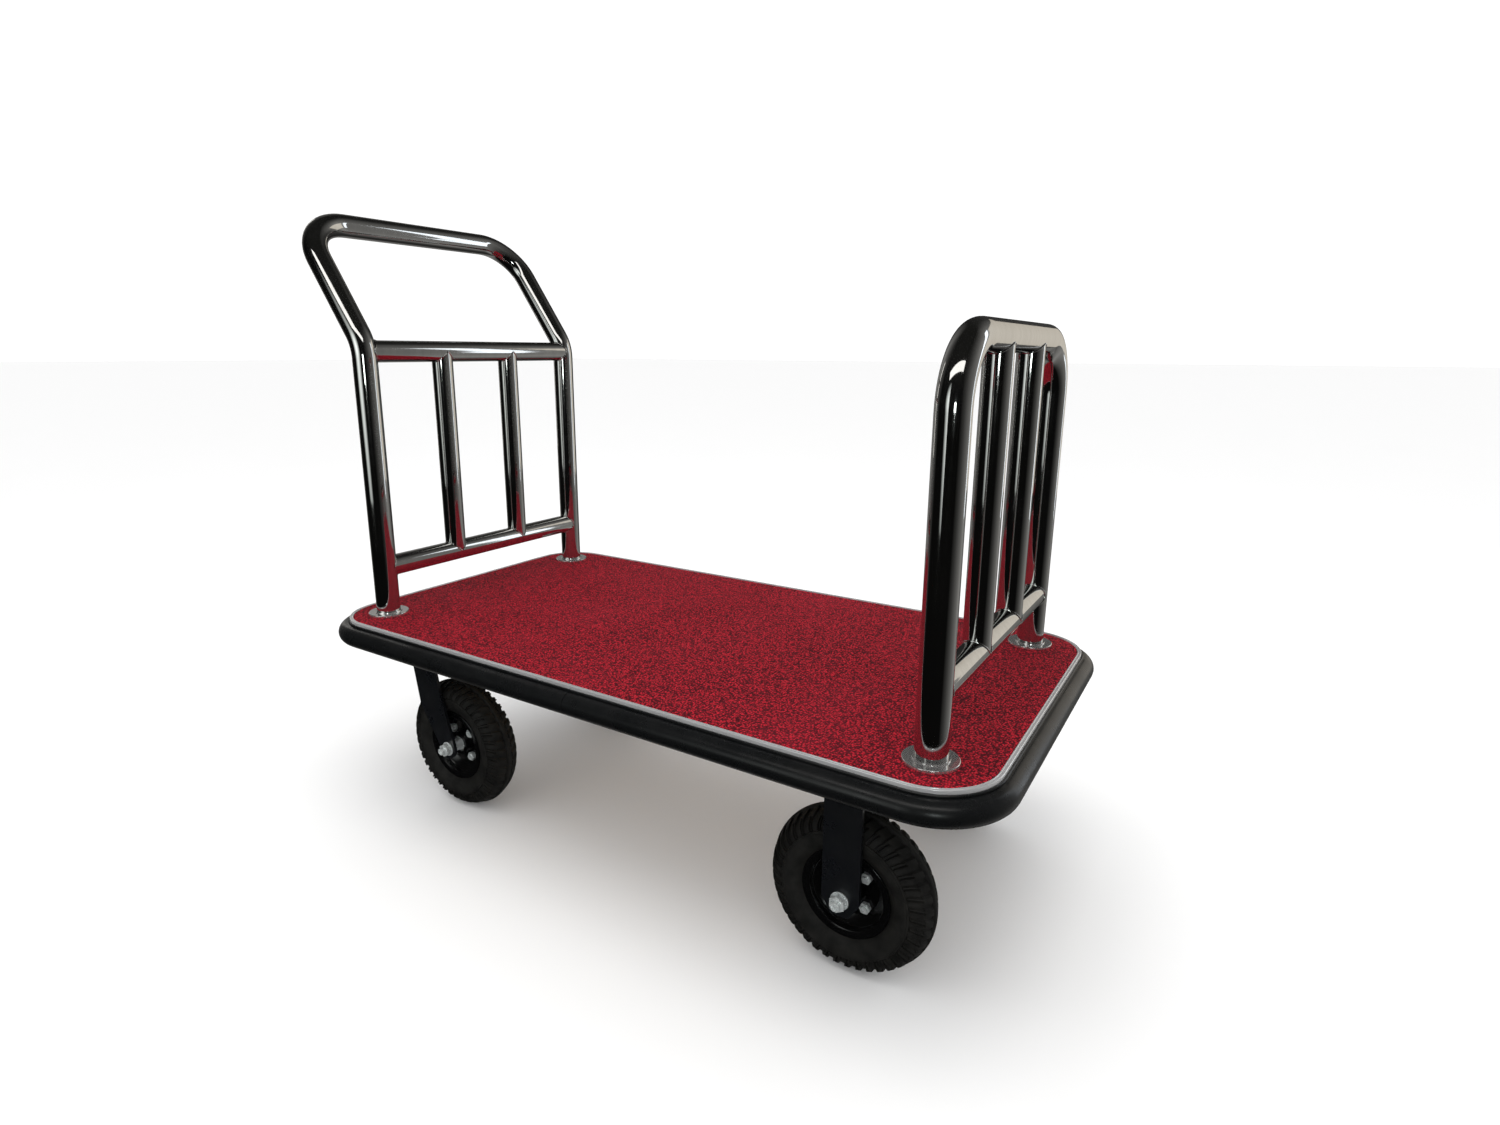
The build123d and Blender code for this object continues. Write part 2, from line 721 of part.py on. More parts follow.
with BuildPart() as caster_bolts:
    hex_head(Plane.XY.offset(member_top_z), caster_hole_spots,
             caster_bolt_head, caster_bolt_head_thick)
    with BuildSketch(Plane.XY.offset(plate_under_z - caster_nut_thick - caster_bolt_tail)):
        with Locations(*caster_hole_spots):
            Circle(caster_bolt_od / 2)
    extrude(amount=member_wall + plate_thick + caster_nut_thick + caster_bolt_tail)
write(both_sides(caster_bolts.part), "caster_bolts")

with BuildPart() as caster_nuts:
    hex_head(Plane.XY.offset(plate_under_z - caster_nut_thick), caster_hole_spots,
             caster_bolt_head, caster_nut_thick)
    with BuildSketch(Plane.XY.offset(plate_under_z - caster_nut_thick)):
        with Locations(*caster_hole_spots):
            Circle(caster_bolt_od / 2 + thread_gap)
    extrude(amount=caster_nut_thick, mode=Mode.SUBTRACT)
write(both_sides(caster_nuts.part), "caster_nuts")

# ---------------------------------------------------------------- wheels
# A wheel turns about Y through its own middle. Profiles have X as the radius and Y along
# the axle, and the side with the nuts is -Y.
rim_half = rim_width / 2
bead_half = rim_half - rim_wall - soft_gap
tyre_foot = rim_seat_radius + soft_gap
tread_half = tyre_width / 2 - tread_inset
shoulder_radius = wheel_od / 2 - tread_bow
neck_radius = rim_flange_radius + soft_gap


def tyre_line(inset):
    """Cross-section line of the tyre from bead to bead, drawn in by an inset."""
    ends = []
    for side in (-1, 1):
        foot = (tyre_foot, side * (bead_half - inset))
        neck = (neck_radius + inset / 2, side * (bead_half - inset))
        belly = ((neck_radius + shoulder_radius) / 2, side * (tyre_width / 2 - inset))
        shoulder = (shoulder_radius - inset / 2, side * (tread_half - inset))
        Line(foot, neck)
        ThreePointArc(neck, belly, shoulder)
        ends.append(shoulder)
    ThreePointArc(ends[0], (wheel_od / 2 - inset, 0), ends[1])


with BuildPart() as tyre:
    with BuildSketch():
        with BuildLine():
            tyre_line(0)
            tyre_line(tyre_wall)
            for side in (-1, 1):
                Line((tyre_foot, side * bead_half), (tyre_foot, side * (bead_half - tyre_wall)))
        make_face()
    revolve(axis=Axis.Y)

tube_low = rim_seat_radius + tube_foot_gap
tube_high = wheel_od / 2 - tyre_wall - soft_gap
tube_radius = (tube_low + tube_high) / 2
tube_deep = (tube_high - tube_low) / 2
tube_half = tyre_width / 2 - tyre_wall - tube_side_gap
valve_y = -(bead_half - tyre_wall - valve_side_gap - valve_od / 2)

with BuildPart() as inner_tube:
    with BuildSketch():
        with Locations((tube_radius, 0)):
            Ellipse(tube_deep, tube_half)
    revolve(axis=Axis.Y)
    with BuildSketch(Plane.XY.offset(rim_seat_radius - valve_length)):
        with Locations((0, valve_y)):
            Circle(valve_od / 2)
    extrude(until=Until.NEXT)
    with BuildSketch():
        with Locations((tube_radius, 0)):
            Ellipse(tube_deep - tube_wall, tube_half - tube_wall)
    revolve(axis=Axis.Y, mode=Mode.SUBTRACT)
    with BuildSketch(Plane.XY.offset(rim_seat_radius - valve_length)):
        with Locations((0, valve_y)):
            Circle(valve_od / 4)
    extrude(amount=tube_radius - rim_seat_radius + valve_length, mode=Mode.SUBTRACT)

rim_disc_edge = rim_half - rim_cone_depth
cup_radius = bearing_od / 2 + bearing_gap
cup_out = bearing_width + soft_gap

with BuildPart() as rim_outer:
    with BuildSketch():
        with BuildLine():
            Polyline(
                (cup_radius, 0),
                (rim_disc_radius, 0),
                (rim_seat_radius, -rim_disc_edge),
                (rim_seat_radius, -rim_half + rim_wall),
                (rim_flange_radius, -rim_half + rim_wall),
                (rim_flange_radius, -rim_half),
                (rim_seat_radius - rim_wall, -rim_half),
                (rim_seat_radius - rim_wall, -rim_disc_edge),
                (rim_disc_radius - rim_wall, -rim_wall),
                (cup_radius + rim_cup_wall, -rim_wall),
                (cup_radius + rim_cup_wall, -cup_out - rim_wall),
                (cup_radius - rim_cup_lip, -cup_out - rim_wall),
                (cup_radius - rim_cup_lip, -cup_out),
                (cup_radius, -cup_out),
                close=True,
            )
        make_face()
    revolve(axis=Axis.Y)
    with BuildSketch(Plane.XZ):
        with PolarLocations(rim_bolt_circle, rim_bolt_count, start_angle=45):
            Circle(rim_bolt_od / 2 + bolt_hole_gap)
    extrude(amount=rim_wall, mode=Mode.SUBTRACT)
rim_inner_part = mirror(rim_outer.part, about=Plane.XZ)

with BuildPart() as rim_outer_valved:
    add(rim_outer.part)
    with BuildSketch(Plane.XY.offset(rim_disc_radius)):
        with Locations((0, valve_y)):
            Circle(valve_od / 2 + soft_gap)
    extrude(amount=rim_flange_radius - rim_disc_radius, mode=Mode.SUBTRACT)

with BuildPart() as bearings:
    for side in (-1, 1):
        with BuildSketch():
            with BuildLine():
                Polyline(
                    (axle_od / 2 + axle_gap, 0),
                    (bearing_od / 2, 0),
                    (bearing_od / 2, side * bearing_width),
                    (bearing_inner_od / 2, side * bearing_width),
                    (bearing_inner_od / 2, side * (leg_inner - hub_end_gap)),
                    (axle_od / 2 + axle_gap, side * (leg_inner - hub_end_gap)),
                    close=True,
                )
            make_face()
        revolve(axis=Axis.Y)

with BuildPart() as rim_bolts:
    with BuildSketch(Plane.XZ.offset(-rim_wall)):
        with PolarLocations(rim_bolt_circle, rim_bolt_count, start_angle=45):
            RegularPolygon(rim_bolt_head / 2, 6, major_radius=False)
    extrude(amount=-rim_bolt_head_thick)
    with BuildSketch(Plane.XZ.offset(-rim_wall)):
        with PolarLocations(rim_bolt_circle, rim_bolt_count, start_angle=45):
            Circle(rim_bolt_od / 2)
    extrude(amount=2 * rim_wall + rim_bolt_nut_thick + axle_tail)
rim_nut = nut_solid(rim_bolt_head, rim_bolt_od + 2 * thread_gap, rim_bolt_nut_thick, rim_nut_round)
rim_nut_spots = [
    (rim_bolt_circle * cos(radians(angle)), -rim_wall, rim_bolt_circle * sin(radians(angle)))
    for angle in (45 + 360 * number / rim_bolt_count for number in range(rim_bolt_count))
]
rim_fasteners = Compound(
    children=rim_bolts.part.solids() + placed(rim_nut, rim_nut_spots).solids()
)

wheel_parts = {
    "tyre": tyre.part,
    "inner_tube": inner_tube.part,
    "rim_outer": rim_outer_valved.part,
    "rim_inner": rim_inner_part,
    "bearings": bearings.part,
    "rim_bolts": rim_fasteners,
}
for end, x in (("swivel", axle_x), ("rigid", rigid_x)):
    for name, part in wheel_parts.items():
        write_sides(placed(part, [(x, -caster_y, axle_z)]), f"{end}_{name}")
print(len(written), "pieces")
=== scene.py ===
import json
import math

import bmesh
import bpy
from mathutils import Matrix, Vector

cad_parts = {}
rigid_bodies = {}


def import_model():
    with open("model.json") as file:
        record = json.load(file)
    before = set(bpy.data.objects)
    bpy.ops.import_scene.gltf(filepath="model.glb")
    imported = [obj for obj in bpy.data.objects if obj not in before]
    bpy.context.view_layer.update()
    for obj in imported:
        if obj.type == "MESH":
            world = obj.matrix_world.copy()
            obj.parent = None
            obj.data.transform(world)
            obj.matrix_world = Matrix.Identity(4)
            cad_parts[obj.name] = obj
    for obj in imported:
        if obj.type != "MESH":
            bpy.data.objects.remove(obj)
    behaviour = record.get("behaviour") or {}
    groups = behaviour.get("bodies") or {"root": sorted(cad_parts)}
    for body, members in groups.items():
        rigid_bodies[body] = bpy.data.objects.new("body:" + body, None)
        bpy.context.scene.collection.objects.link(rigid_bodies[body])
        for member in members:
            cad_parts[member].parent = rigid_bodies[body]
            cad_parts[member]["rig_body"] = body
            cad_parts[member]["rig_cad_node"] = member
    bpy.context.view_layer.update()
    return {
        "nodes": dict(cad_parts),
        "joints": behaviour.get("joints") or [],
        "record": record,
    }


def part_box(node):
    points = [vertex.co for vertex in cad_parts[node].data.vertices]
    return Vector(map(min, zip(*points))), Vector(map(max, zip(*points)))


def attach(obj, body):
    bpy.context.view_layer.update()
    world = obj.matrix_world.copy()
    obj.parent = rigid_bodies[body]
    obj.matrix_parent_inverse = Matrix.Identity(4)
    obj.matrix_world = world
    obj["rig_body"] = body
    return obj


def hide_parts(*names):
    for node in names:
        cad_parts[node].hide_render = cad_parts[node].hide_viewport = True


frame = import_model()

MM = 0.001
SMALL = 1e-6  # metres: points closer than this are one
SEAM = 2e-6  # metres: the same, for a finished shell
SIDES = {"right": -1, "left": 1}  # the cart's sides, as directions along Y
MIX_FIRST, MIX_SECOND, MIX_RESULT = 6, 7, 2  # colour sockets of a Mix node
nodes = frame["nodes"]
hinge_at = {joint["name"]: Vector(joint["pos_m"]) for joint in frame["joints"]}


# ------------------------------------------------------------------ hand tools
def let_go():
    """Back to object mode with nothing selected."""
    if bpy.context.object and bpy.context.object.mode != "OBJECT":
        bpy.ops.object.mode_set(mode="OBJECT")
    bpy.ops.object.select_all(action="DESELECT")


def take(piece):
    """Only this piece selected and active."""
    let_go()
    piece.select_set(True)
    bpy.context.view_layer.objects.active = piece


def edit_all(piece):
    """Edit mode with the whole of the piece selected."""
    take(piece)
    bpy.ops.object.mode_set(mode="EDIT")
    bpy.ops.mesh.select_mode(type="VERT")
    bpy.ops.mesh.select_all(action="SELECT")


def edit_none(piece, kind="VERT"):
    """Edit mode with nothing selected, ready to select points, edges or faces."""
    edit_all(piece)
    bpy.ops.mesh.select_all(action="DESELECT")
    bpy.ops.mesh.select_mode(type=kind)


def bake_place():
    """Moves the selected object's place, turn and size into its mesh."""
    bpy.ops.object.transform_apply(location=True, rotation=True, scale=True)


def settle():
    """Leaves edit mode and bakes the active object's place."""
    bpy.ops.object.mode_set(mode="OBJECT")
    bake_place()
    return bpy.context.object


def shade(angle):
    """Smooth shading across edges of less than this many degrees."""
    bpy.ops.object.shade_smooth_by_angle(angle=math.radians(angle))


def point_at(spot):
    """A mesh of one point, open in edit mode."""
    let_go()
    bpy.ops.mesh.primitive_plane_add(size=MM, location=spot)
    bake_place()
    bpy.ops.object.mode_set(mode="EDIT")
    bpy.ops.mesh.select_mode(type="VERT")
    bpy.ops.mesh.select_all(action="SELECT")
    bpy.ops.mesh.merge(type="CENTER")


def draw_on(points):
    """Extrudes the chosen point from each point of a line to the next."""
    for here, there in zip(points, points[1:]):
        step = Vector(there) - Vector(here)
        bpy.ops.mesh.extrude_region_move(TRANSFORM_OT_translate={"value": step})


def tidy_shell(angle):
    """Merges doubles, turns the faces outwards and smooths all but sharp edges."""
    bpy.ops.mesh.select_all(action="SELECT")
    bpy.ops.mesh.remove_doubles(threshold=SEAM)
    bpy.ops.mesh.normals_make_consistent(inside=False)
    piece = settle()
    shade(angle)
    return piece


def turned(profile, centre, steps, angle=35):
    """Turned solid about an axle along Y.

    The profile's points are (radius, place along the axle) in millimetres, and the line
    is closed from the last point to the first.
    """
    line = [Vector(centre) + Vector((r, a, 0)) * MM for r, a in profile]
    point_at(line[0])
    draw_on(line + line[:1])
    bpy.ops.mesh.select_all(action="SELECT")
    bpy.ops.mesh.remove_doubles(threshold=SMALL)
    bpy.ops.mesh.spin(
        steps=steps, angle=math.tau, center=centre, axis=(0, 1, 0), use_auto_merge=True
    )
    return tidy_shell(angle)


def rounded(piece, width, angle=30):
    """Rounds the edges sharper than the angle; width in millimetres."""
    take(piece)
    bevel = piece.modifiers.new("round", "BEVEL")
    bevel.width = width * MM
    bevel.segments = 2
    bevel.limit_method = "ANGLE"
    bevel.angle_limit = math.radians(angle)
    bpy.ops.object.modifier_apply(modifier=bevel.name)
    shade(40)
    even = piece.modifiers.new("even", "WEIGHTED_NORMAL")
    even.keep_sharp = True
    even.weight = 100
    bpy.ops.object.modifier_apply(modifier=even.name)
    return piece


def copied(part):
    """A copy of a part with its triangles joined, open in edit mode."""
    piece = nodes[part].copy()
    piece.data = nodes[part].data.copy()
    piece.parent = None
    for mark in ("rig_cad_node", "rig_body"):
        if mark in piece:
            del piece[mark]
    bpy.context.scene.collection.objects.link(piece)
    take(piece)
    bpy.ops.mesh.customdata_custom_splitnormals_clear()
    edit_all(piece)
    bpy.ops.mesh.remove_doubles(threshold=SMALL)
    return piece


def softened(part, width):
    """A copy of a flat-faced part with its edges rounded; width in millimetres."""
    piece = copied(part)
    bpy.ops.mesh.dissolve_limited(angle_limit=math.radians(1.0))
    bpy.ops.object.mode_set(mode="OBJECT")
    return rounded(piece, width)


def smoothed(part):
    """A copy of a round part, smooth across the edges between its facets."""
    piece = copied(part)
    bpy.ops.object.mode_set(mode="OBJECT")
    shade(35)
    return piece


def twin(piece, move):
    """A copy of the piece with its own mesh, moved by a matrix."""
    other = piece.copy()
    other.data = piece.data.copy()
    bpy.context.scene.collection.objects.link(other)
    other.data.transform(move)
    return other


def join(pieces):
    """Several pieces made one."""
    let_go()
    for piece in pieces:
        piece.select_set(True)
    bpy.context.view_layer.objects.active = pieces[0]
    bpy.ops.object.join()
    return bpy.context.object


def fit(piece, name, body, stands_for, slot, finish=None):
    """Names a finished piece, gives it its finish and lets it ride on its body."""
    piece.name = name
    piece.data.name = name
    piece.data.materials.clear()
    piece.data.materials.append(finish or finish_of[slot])
    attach(piece, body)
    if stands_for:
        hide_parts(*stands_for)
    return piece


# ------------------------------------------------------------------ shader groups
def link(tree, source, target):
    """Joins an output to an input."""
    tree.links.new(source, target)


def new_group(name, numbers, outputs):
    """Shader group with number inputs by name, and outputs given as (name, kind)."""
    tree = bpy.data.node_groups.new(name, "ShaderNodeTree")
    for label, value in numbers.items():
        socket = tree.interface.new_socket(
            name=label, in_out="INPUT", socket_type="NodeSocketFloat"
        )
        socket.default_value = value
    for label, kind in outputs:
        tree.interface.new_socket(name=label, in_out="OUTPUT", socket_type=kind)
    return tree, tree.nodes.new("NodeGroupInput"), tree.nodes.new("NodeGroupOutput")


def node(tree, kind, **settings):
    """A shader node with its settings."""
    made = tree.nodes.new(kind)
    for key, value in settings.items():
        setattr(made, key, value)
    return made


def object_place(tree):
    """The point on the piece, in the piece's own space."""
    return node(tree, "ShaderNodeTexCoord").outputs["Object"]


def stretched(tree, place, scale, turn=(0.0, 0.0, 0.0)):
    """The place stretched by a scale, and turned, for a pattern with a direction."""
    made = node(tree, "ShaderNodeMapping")
    made.inputs["Scale"].default_value = scale
    made.inputs["Rotation"].default_value = turn
    link(tree, place, made.inputs["Vector"])
    return made.outputs["Vector"]


def product(tree, first, second):
    """Two masks multiplied."""
    made = node(tree, "ShaderNodeMath", operation="MULTIPLY", use_clamp=True)
    link(tree, first, made.inputs[0])
    link(tree, second, made.inputs[1])
    return made.outputs[0]


def noise(tree, place, scale, detail=2.0, rough=0.5):
    """Noise whose scale is a number or another node's output."""
    made = node(tree, "ShaderNodeTexNoise")
    link(tree, place, made.inputs["Vector"])
    if isinstance(scale, float):
        made.inputs["Scale"].default_value = scale
    else:
        link(tree, scale, made.inputs["Scale"])
    made.inputs["Detail"].default_value = detail
    made.inputs["Roughness"].default_value = rough
    return made


def ranged(tree, value, low, high, to_low=0.0, to_high=1.0):
    """The value carried from one range to another."""
    made = node(tree, "ShaderNodeMapRange")
    link(tree, value, made.inputs["Value"])
    for label, number in (
        ("From Min", low), ("From Max", high), ("To Min", to_low), ("To Max", to_high)
    ):
        if isinstance(number, float):
            made.inputs[label].default_value = number
        else:
            link(tree, number, made.inputs[label])
    return made.outputs["Result"]


def make_grain():
    """Fine even surface grain: a value from 0 to 1 and a bumped normal."""
    tree, given, out = new_group(
        "surface_grain",
        {"Scale": 400.0, "Strength": 0.2, "Depth": 0.0002},
        [("Value", "NodeSocketFloat"), ("Normal", "NodeSocketVector")],
    )
    place = object_place(tree)
    fine = noise(tree, place, given.outputs["Scale"], 4.0, 0.6)
    bump = node(tree, "ShaderNodeBump")
    link(tree, fine.outputs["Fac"], bump.inputs["Height"])
    link(tree, given.outputs["Strength"], bump.inputs["Strength"])
    link(tree, given.outputs["Depth"], bump.inputs["Distance"])
    link(tree, fine.outputs["Fac"], out.inputs["Value"])
    link(tree, bump.outputs["Normal"], out.inputs["Normal"])
    return tree


def make_patches():
    """Soft uneven patches between two values, for rub marks, smears and fading."""
    tree, given, out = new_group(
        "soft_patches",
        {"Scale": 12.0, "Low": 0.3, "High": 0.5},
        [("Value", "NodeSocketFloat"), ("Mask", "NodeSocketFloat")],
    )
    place = object_place(tree)
    cloud = noise(tree, place, given.outputs["Scale"], 5.0, 0.62)
    mask = ranged(tree, cloud.outputs["Fac"], 0.34, 0.68)
    value = ranged(tree, mask, 0.0, 1.0, given.outputs["Low"], given.outputs["High"])
    link(tree, value, out.inputs["Value"])
    link(tree, mask, out.inputs["Mask"])
    return tree


def make_dust():
    """Dust that lies on what faces up, thicker in patches."""
    tree, given, out = new_group(
        "settled_dust",
        {"Amount": 0.3, "Scale": 30.0},
        [("Mask", "NodeSocketFloat")],
    )
    normal = node(tree, "ShaderNodeNewGeometry").outputs["Normal"]
    split = node(tree, "ShaderNodeSeparateXYZ")
    link(tree, normal, split.inputs["Vector"])
    up = ranged(tree, split.outputs["Z"], 0.1, 1.0)
    cloud = noise(tree, object_place(tree), given.outputs["Scale"], 6.0, 0.7)
    patch = ranged(tree, cloud.outputs["Fac"], 0.35, 0.7)
    thick = product(tree, product(tree, up, patch), given.outputs["Amount"])
    link(tree, thick, out.inputs["Mask"])
    return tree


def make_scratches():
    """Thin short scratches in scattered places."""
    tree, given, out = new_group(
        "thin_scratches",
        {"Scale": 60.0, "Width": 0.02},
        [("Mask", "NodeSocketFloat")],
    )
    place = object_place(tree)
    slanted = stretched(tree, place, (1.0, 0.35, 0.22), (0.4, 0.7, 0.5))
    lines = noise(tree, slanted, given.outputs["Scale"], 1.0, 0.4)
    middle = node(tree, "ShaderNodeMath", operation="SUBTRACT")
    link(tree, lines.outputs["Fac"], middle.inputs[0])
    middle.inputs[1].default_value = 0.5
    off = node(tree, "ShaderNodeMath", operation="ABSOLUTE")
    link(tree, middle.outputs[0], off.inputs[0])
    thin = ranged(tree, off.outputs[0], 0.0, given.outputs["Width"], 1.0, 0.0)
    where = noise(tree, place, 25.0, 3.0, 0.5)
    spot = ranged(tree, where.outputs["Fac"], 0.56, 0.68)
    link(tree, product(tree, thin, spot), out.inputs["Mask"])
    return tree


GRAIN = make_grain()
PATCHES = make_patches()
DUST = make_dust()
SCRATCHES = make_scratches()


class Finish:
    """A material with one Principled shader, and the groups that feed it."""

    def __init__(self, name, colour, rough, **sockets):
        self.material = bpy.data.materials.new(name)
        self.material.use_nodes = True
        self.tree = self.material.node_tree
        self.shader = self.tree.nodes["Principled BSDF"]
        self.shader.inputs["Base Color"].default_value = (*colour, 1.0)
        self.shader.inputs["Roughness"].default_value = rough
        for label, value in sockets.items():
            self.shader.inputs[label.replace("_", " ")].default_value = value
        self.colour = (*colour, 1.0)

    def group(self, tree, **numbers):
        """Places a shader group and gives its outputs."""
        made = node(self.tree, "ShaderNodeGroup")
        made.node_tree = tree
        for label, value in numbers.items():
            made.inputs[label].default_value = value
        return made.outputs

    def mix(self, mask, first, second):
        """From the first colour to the second, as the mask goes from 0 to 1."""
        made = node(self.tree, "ShaderNodeMix", data_type="RGBA")
        link(self.tree, mask, made.inputs["Factor"])
        for index, value in ((MIX_FIRST, first), (MIX_SECOND, second)):
            if isinstance(value, tuple):
                made.inputs[index].default_value = value if len(value) == 4 else (*value, 1.0)
            else:
                link(self.tree, value, made.inputs[index])
        return made.outputs[MIX_RESULT]

    def feed(self, label, source):
        """Joins an output to the shader."""
        link(self.tree, source, self.shader.inputs[label])

    def patchy(self, scale, low, high):
        """Roughness that wanders between two values."""
        patches = self.group(PATCHES, Scale=scale, Low=low, High=high)
        self.feed("Roughness", patches["Value"])

    def two_tone(self, scale, first, second):
        """Colour that wanders between two."""
        patches = self.group(PATCHES, Scale=scale, Low=0.0, High=1.0)
        self.feed("Base Color", self.mix(patches["Mask"], first, second))

    def grained(self, scale, strength, depth):
        """Fine grain in the surface."""
        grain = self.group(GRAIN, Scale=scale, Strength=strength, Depth=depth)
        self.feed("Normal", grain["Normal"])


# ------------------------------------------------------------------ finishes
def polished_steel():
    """Mirror-polished tube: smoky reflections, fine lengthwise polishing lines."""
    made = Finish("polished_tube", (0.62, 0.60, 0.57), 0.07, Metallic=1.0)
    tree = made.tree
    lengthwise = stretched(tree, object_place(tree), (1.0, 1.0, 0.03))
    streaks = noise(tree, lengthwise, 90.0, 3.0, 0.6)
    mask = ranged(tree, streaks.outputs["Fac"], 0.35, 0.7)
    made.feed("Base Color", made.mix(mask, (0.64, 0.64, 0.63), (0.58, 0.58, 0.57)))
    made.patchy(14.0, 0.04, 0.09)
    return made.material


def bright_trim():
    """Brushed and lightly polished edge trim."""
    made = Finish("bright_trim", (0.86, 0.86, 0.87), 0.2, Metallic=0.7)
    made.patchy(14.0, 0.16, 0.26)
    made.two_tone(9.0, (0.88, 0.88, 0.89), (0.80, 0.80, 0.81))
    return made.material


def bumper_rubber():
    """Smooth black rubber with a little dust."""
    made = Finish("bumper_rubber", (0.0035, 0.0040, 0.0043), 0.28)
    made.patchy(18.0, 0.24, 0.34)
    dust = made.group(DUST, Amount=0.05, Scale=45.0)["Mask"]
    made.feed("Base Color", made.mix(dust, made.colour, (0.10, 0.10, 0.105)))
    made.grained(900.0, 0.12, 0.0002)
    return made.material


def tyre_rubber():
    """Matt black rubber, browner where it is worn."""
    made = Finish("tyre_rubber", (0.010, 0.009, 0.0075), 0.66, Specular_IOR_Level=0.35)
    made.patchy(30.0, 0.55, 0.78)
    made.two_tone(55.0, (0.0045, 0.0043, 0.0036), (0.0125, 0.0118, 0.0095))
    made.grained(700.0, 0.35, 0.0003)
    return made.material


def black_paint(name, colour, rough_low, rough_high, coat, dust_amount, scratched):
    """Black enamel on steel, with faint orange peel, dust and perhaps scratches."""
    made = Finish(name, colour, rough_low, Coat_Weight=coat, Coat_Roughness=0.08)
    made.patchy(26.0, rough_low, rough_high)
    dust = made.group(DUST, Amount=dust_amount, Scale=60.0)["Mask"]
    dusty = made.mix(dust, made.colour, (0.09, 0.085, 0.08))
    if scratched:
        scratch = made.group(SCRATCHES, Scale=70.0, Width=0.008)["Mask"]
        dusty = made.mix(scratch, dusty, (0.035, 0.040, 0.045))
    made.feed("Base Color", dusty)
    made.grained(160.0, 0.06, 0.0005)
    return made.material


def flange_chrome():
    """Plated cover flanges, a little duller than the tubes."""
    made = Finish("flange_chrome", (0.78, 0.77, 0.76), 0.12, Metallic=0.9)
    made.patchy(8.0, 0.08, 0.16)
    made.two_tone(8.0, (0.80, 0.79, 0.78), (0.72, 0.71, 0.70))
    return made.material


def zinc_plate():
    """Pale zinc on nuts, bolts and washers."""
    made = Finish("zinc_plate", (0.80, 0.84, 0.84), 0.26, Metallic=0.6)
    made.patchy(60.0, 0.20, 0.34)
    made.two_tone(60.0, (0.84, 0.88, 0.88), (0.70, 0.75, 0.74))
    made.grained(1500.0, 0.1, 0.0001)
    return made.material


def plywood():
    """Sheet wood, seen only from below and at its edges."""
    made = Finish("plywood", (0.42, 0.29, 0.17), 0.6)
    tree = made.tree
    rings = noise(tree, stretched(tree, object_place(tree), (0.6, 9.0, 9.0)), 6.0, 6.0, 0.65)
    mask = ranged(tree, rings.outputs["Fac"], 0.3, 0.7)
    made.feed("Base Color", made.mix(mask, (0.50, 0.36, 0.21), (0.32, 0.20, 0.11)))
    made.grained(500.0, 0.3, 0.0003)
    return made.material


def loop_carpet():
    """Red loop pile: round loops, painted shade in the gaps between them, and darker flecks.
    """
    made = Finish("loop_carpet", (0.31, 0.012, 0.027), 0.9, Specular_IOR_Level=0.15)
    tree = made.tree
    place = object_place(tree)
    wander = noise(tree, place, 180.0, 2.0, 0.5)
    shift = node(tree, "ShaderNodeVectorMath", operation="MULTIPLY_ADD")
    link(tree, wander.outputs["Color"], shift.inputs[0])
    shift.inputs[1].default_value = (0.0022, 0.0022, 0.0)
    link(tree, place, shift.inputs[2])
    loops = node(tree, "ShaderNodeTexVoronoi", feature="F1")
    loops.inputs["Scale"].default_value = 345.0
    loops.inputs["Randomness"].default_value = 0.75
    link(tree, shift.outputs["Vector"], loops.inputs["Vector"])
    height = ranged(tree, loops.outputs["Distance"], 0.0, 0.75, 1.0, 0.0)
    loop_gap_shade = ranged(tree, height, 0.15, 0.75)
    yarn = noise(tree, place, 900.0, 2.0, 0.6)
    shade = ranged(tree, yarn.outputs["Fac"], 0.35, 0.65)
    red = made.mix(shade, (0.320, 0.005, 0.013), (0.840, 0.018, 0.042))
    # painted shade: the low gaps between the loops are coloured near-black, standing in for
    # the shade that falls in them
    red = made.mix(loop_gap_shade, (0.035, 0.001, 0.004), red)
    fleck = noise(tree, place, 300.0, 1.0, 0.5)
    dark = ranged(tree, fleck.outputs["Fac"], 0.56, 0.64)
    red = made.mix(dark, red, (0.060, 0.002, 0.007))
    worn = made.group(PATCHES, Scale=5.0, Low=0.0, High=0.16)["Value"]
    red = made.mix(worn, red, (0.40, 0.014, 0.033))
    made.feed("Base Color", red)
    bump = node(tree, "ShaderNodeBump")
    bump.inputs["Strength"].default_value = 0.9
    bump.inputs["Distance"].default_value = 0.0012
    link(tree, height, bump.inputs["Height"])
    made.feed("Normal", bump.outputs["Normal"])
    return made.material


finish_of = {
    "polished_tube": polished_steel(),
    "bright_trim": bright_trim(),
    "bumper_rubber": bumper_rubber(),
    "tyre": tyre_rubber(),
    "black_steel": black_paint(
        "black_paint", (0.0040, 0.0047, 0.0062), 0.24, 0.42, 0.6, 0.08, True
    ),
    "rim_paint": black_paint(
        "rim_paint", (0.0018, 0.0018, 0.0020), 0.12, 0.22, 0.3, 0.03, False
    ),
    "zinc": zinc_plate(),
    "board": plywood(),
    "carpet": loop_carpet(),
}
for entry in frame["record"]["subparts"]:
    mesh = nodes[entry["node"]].data
    mesh.materials.clear()
    mesh.materials.append(finish_of[entry["material_slot"]])


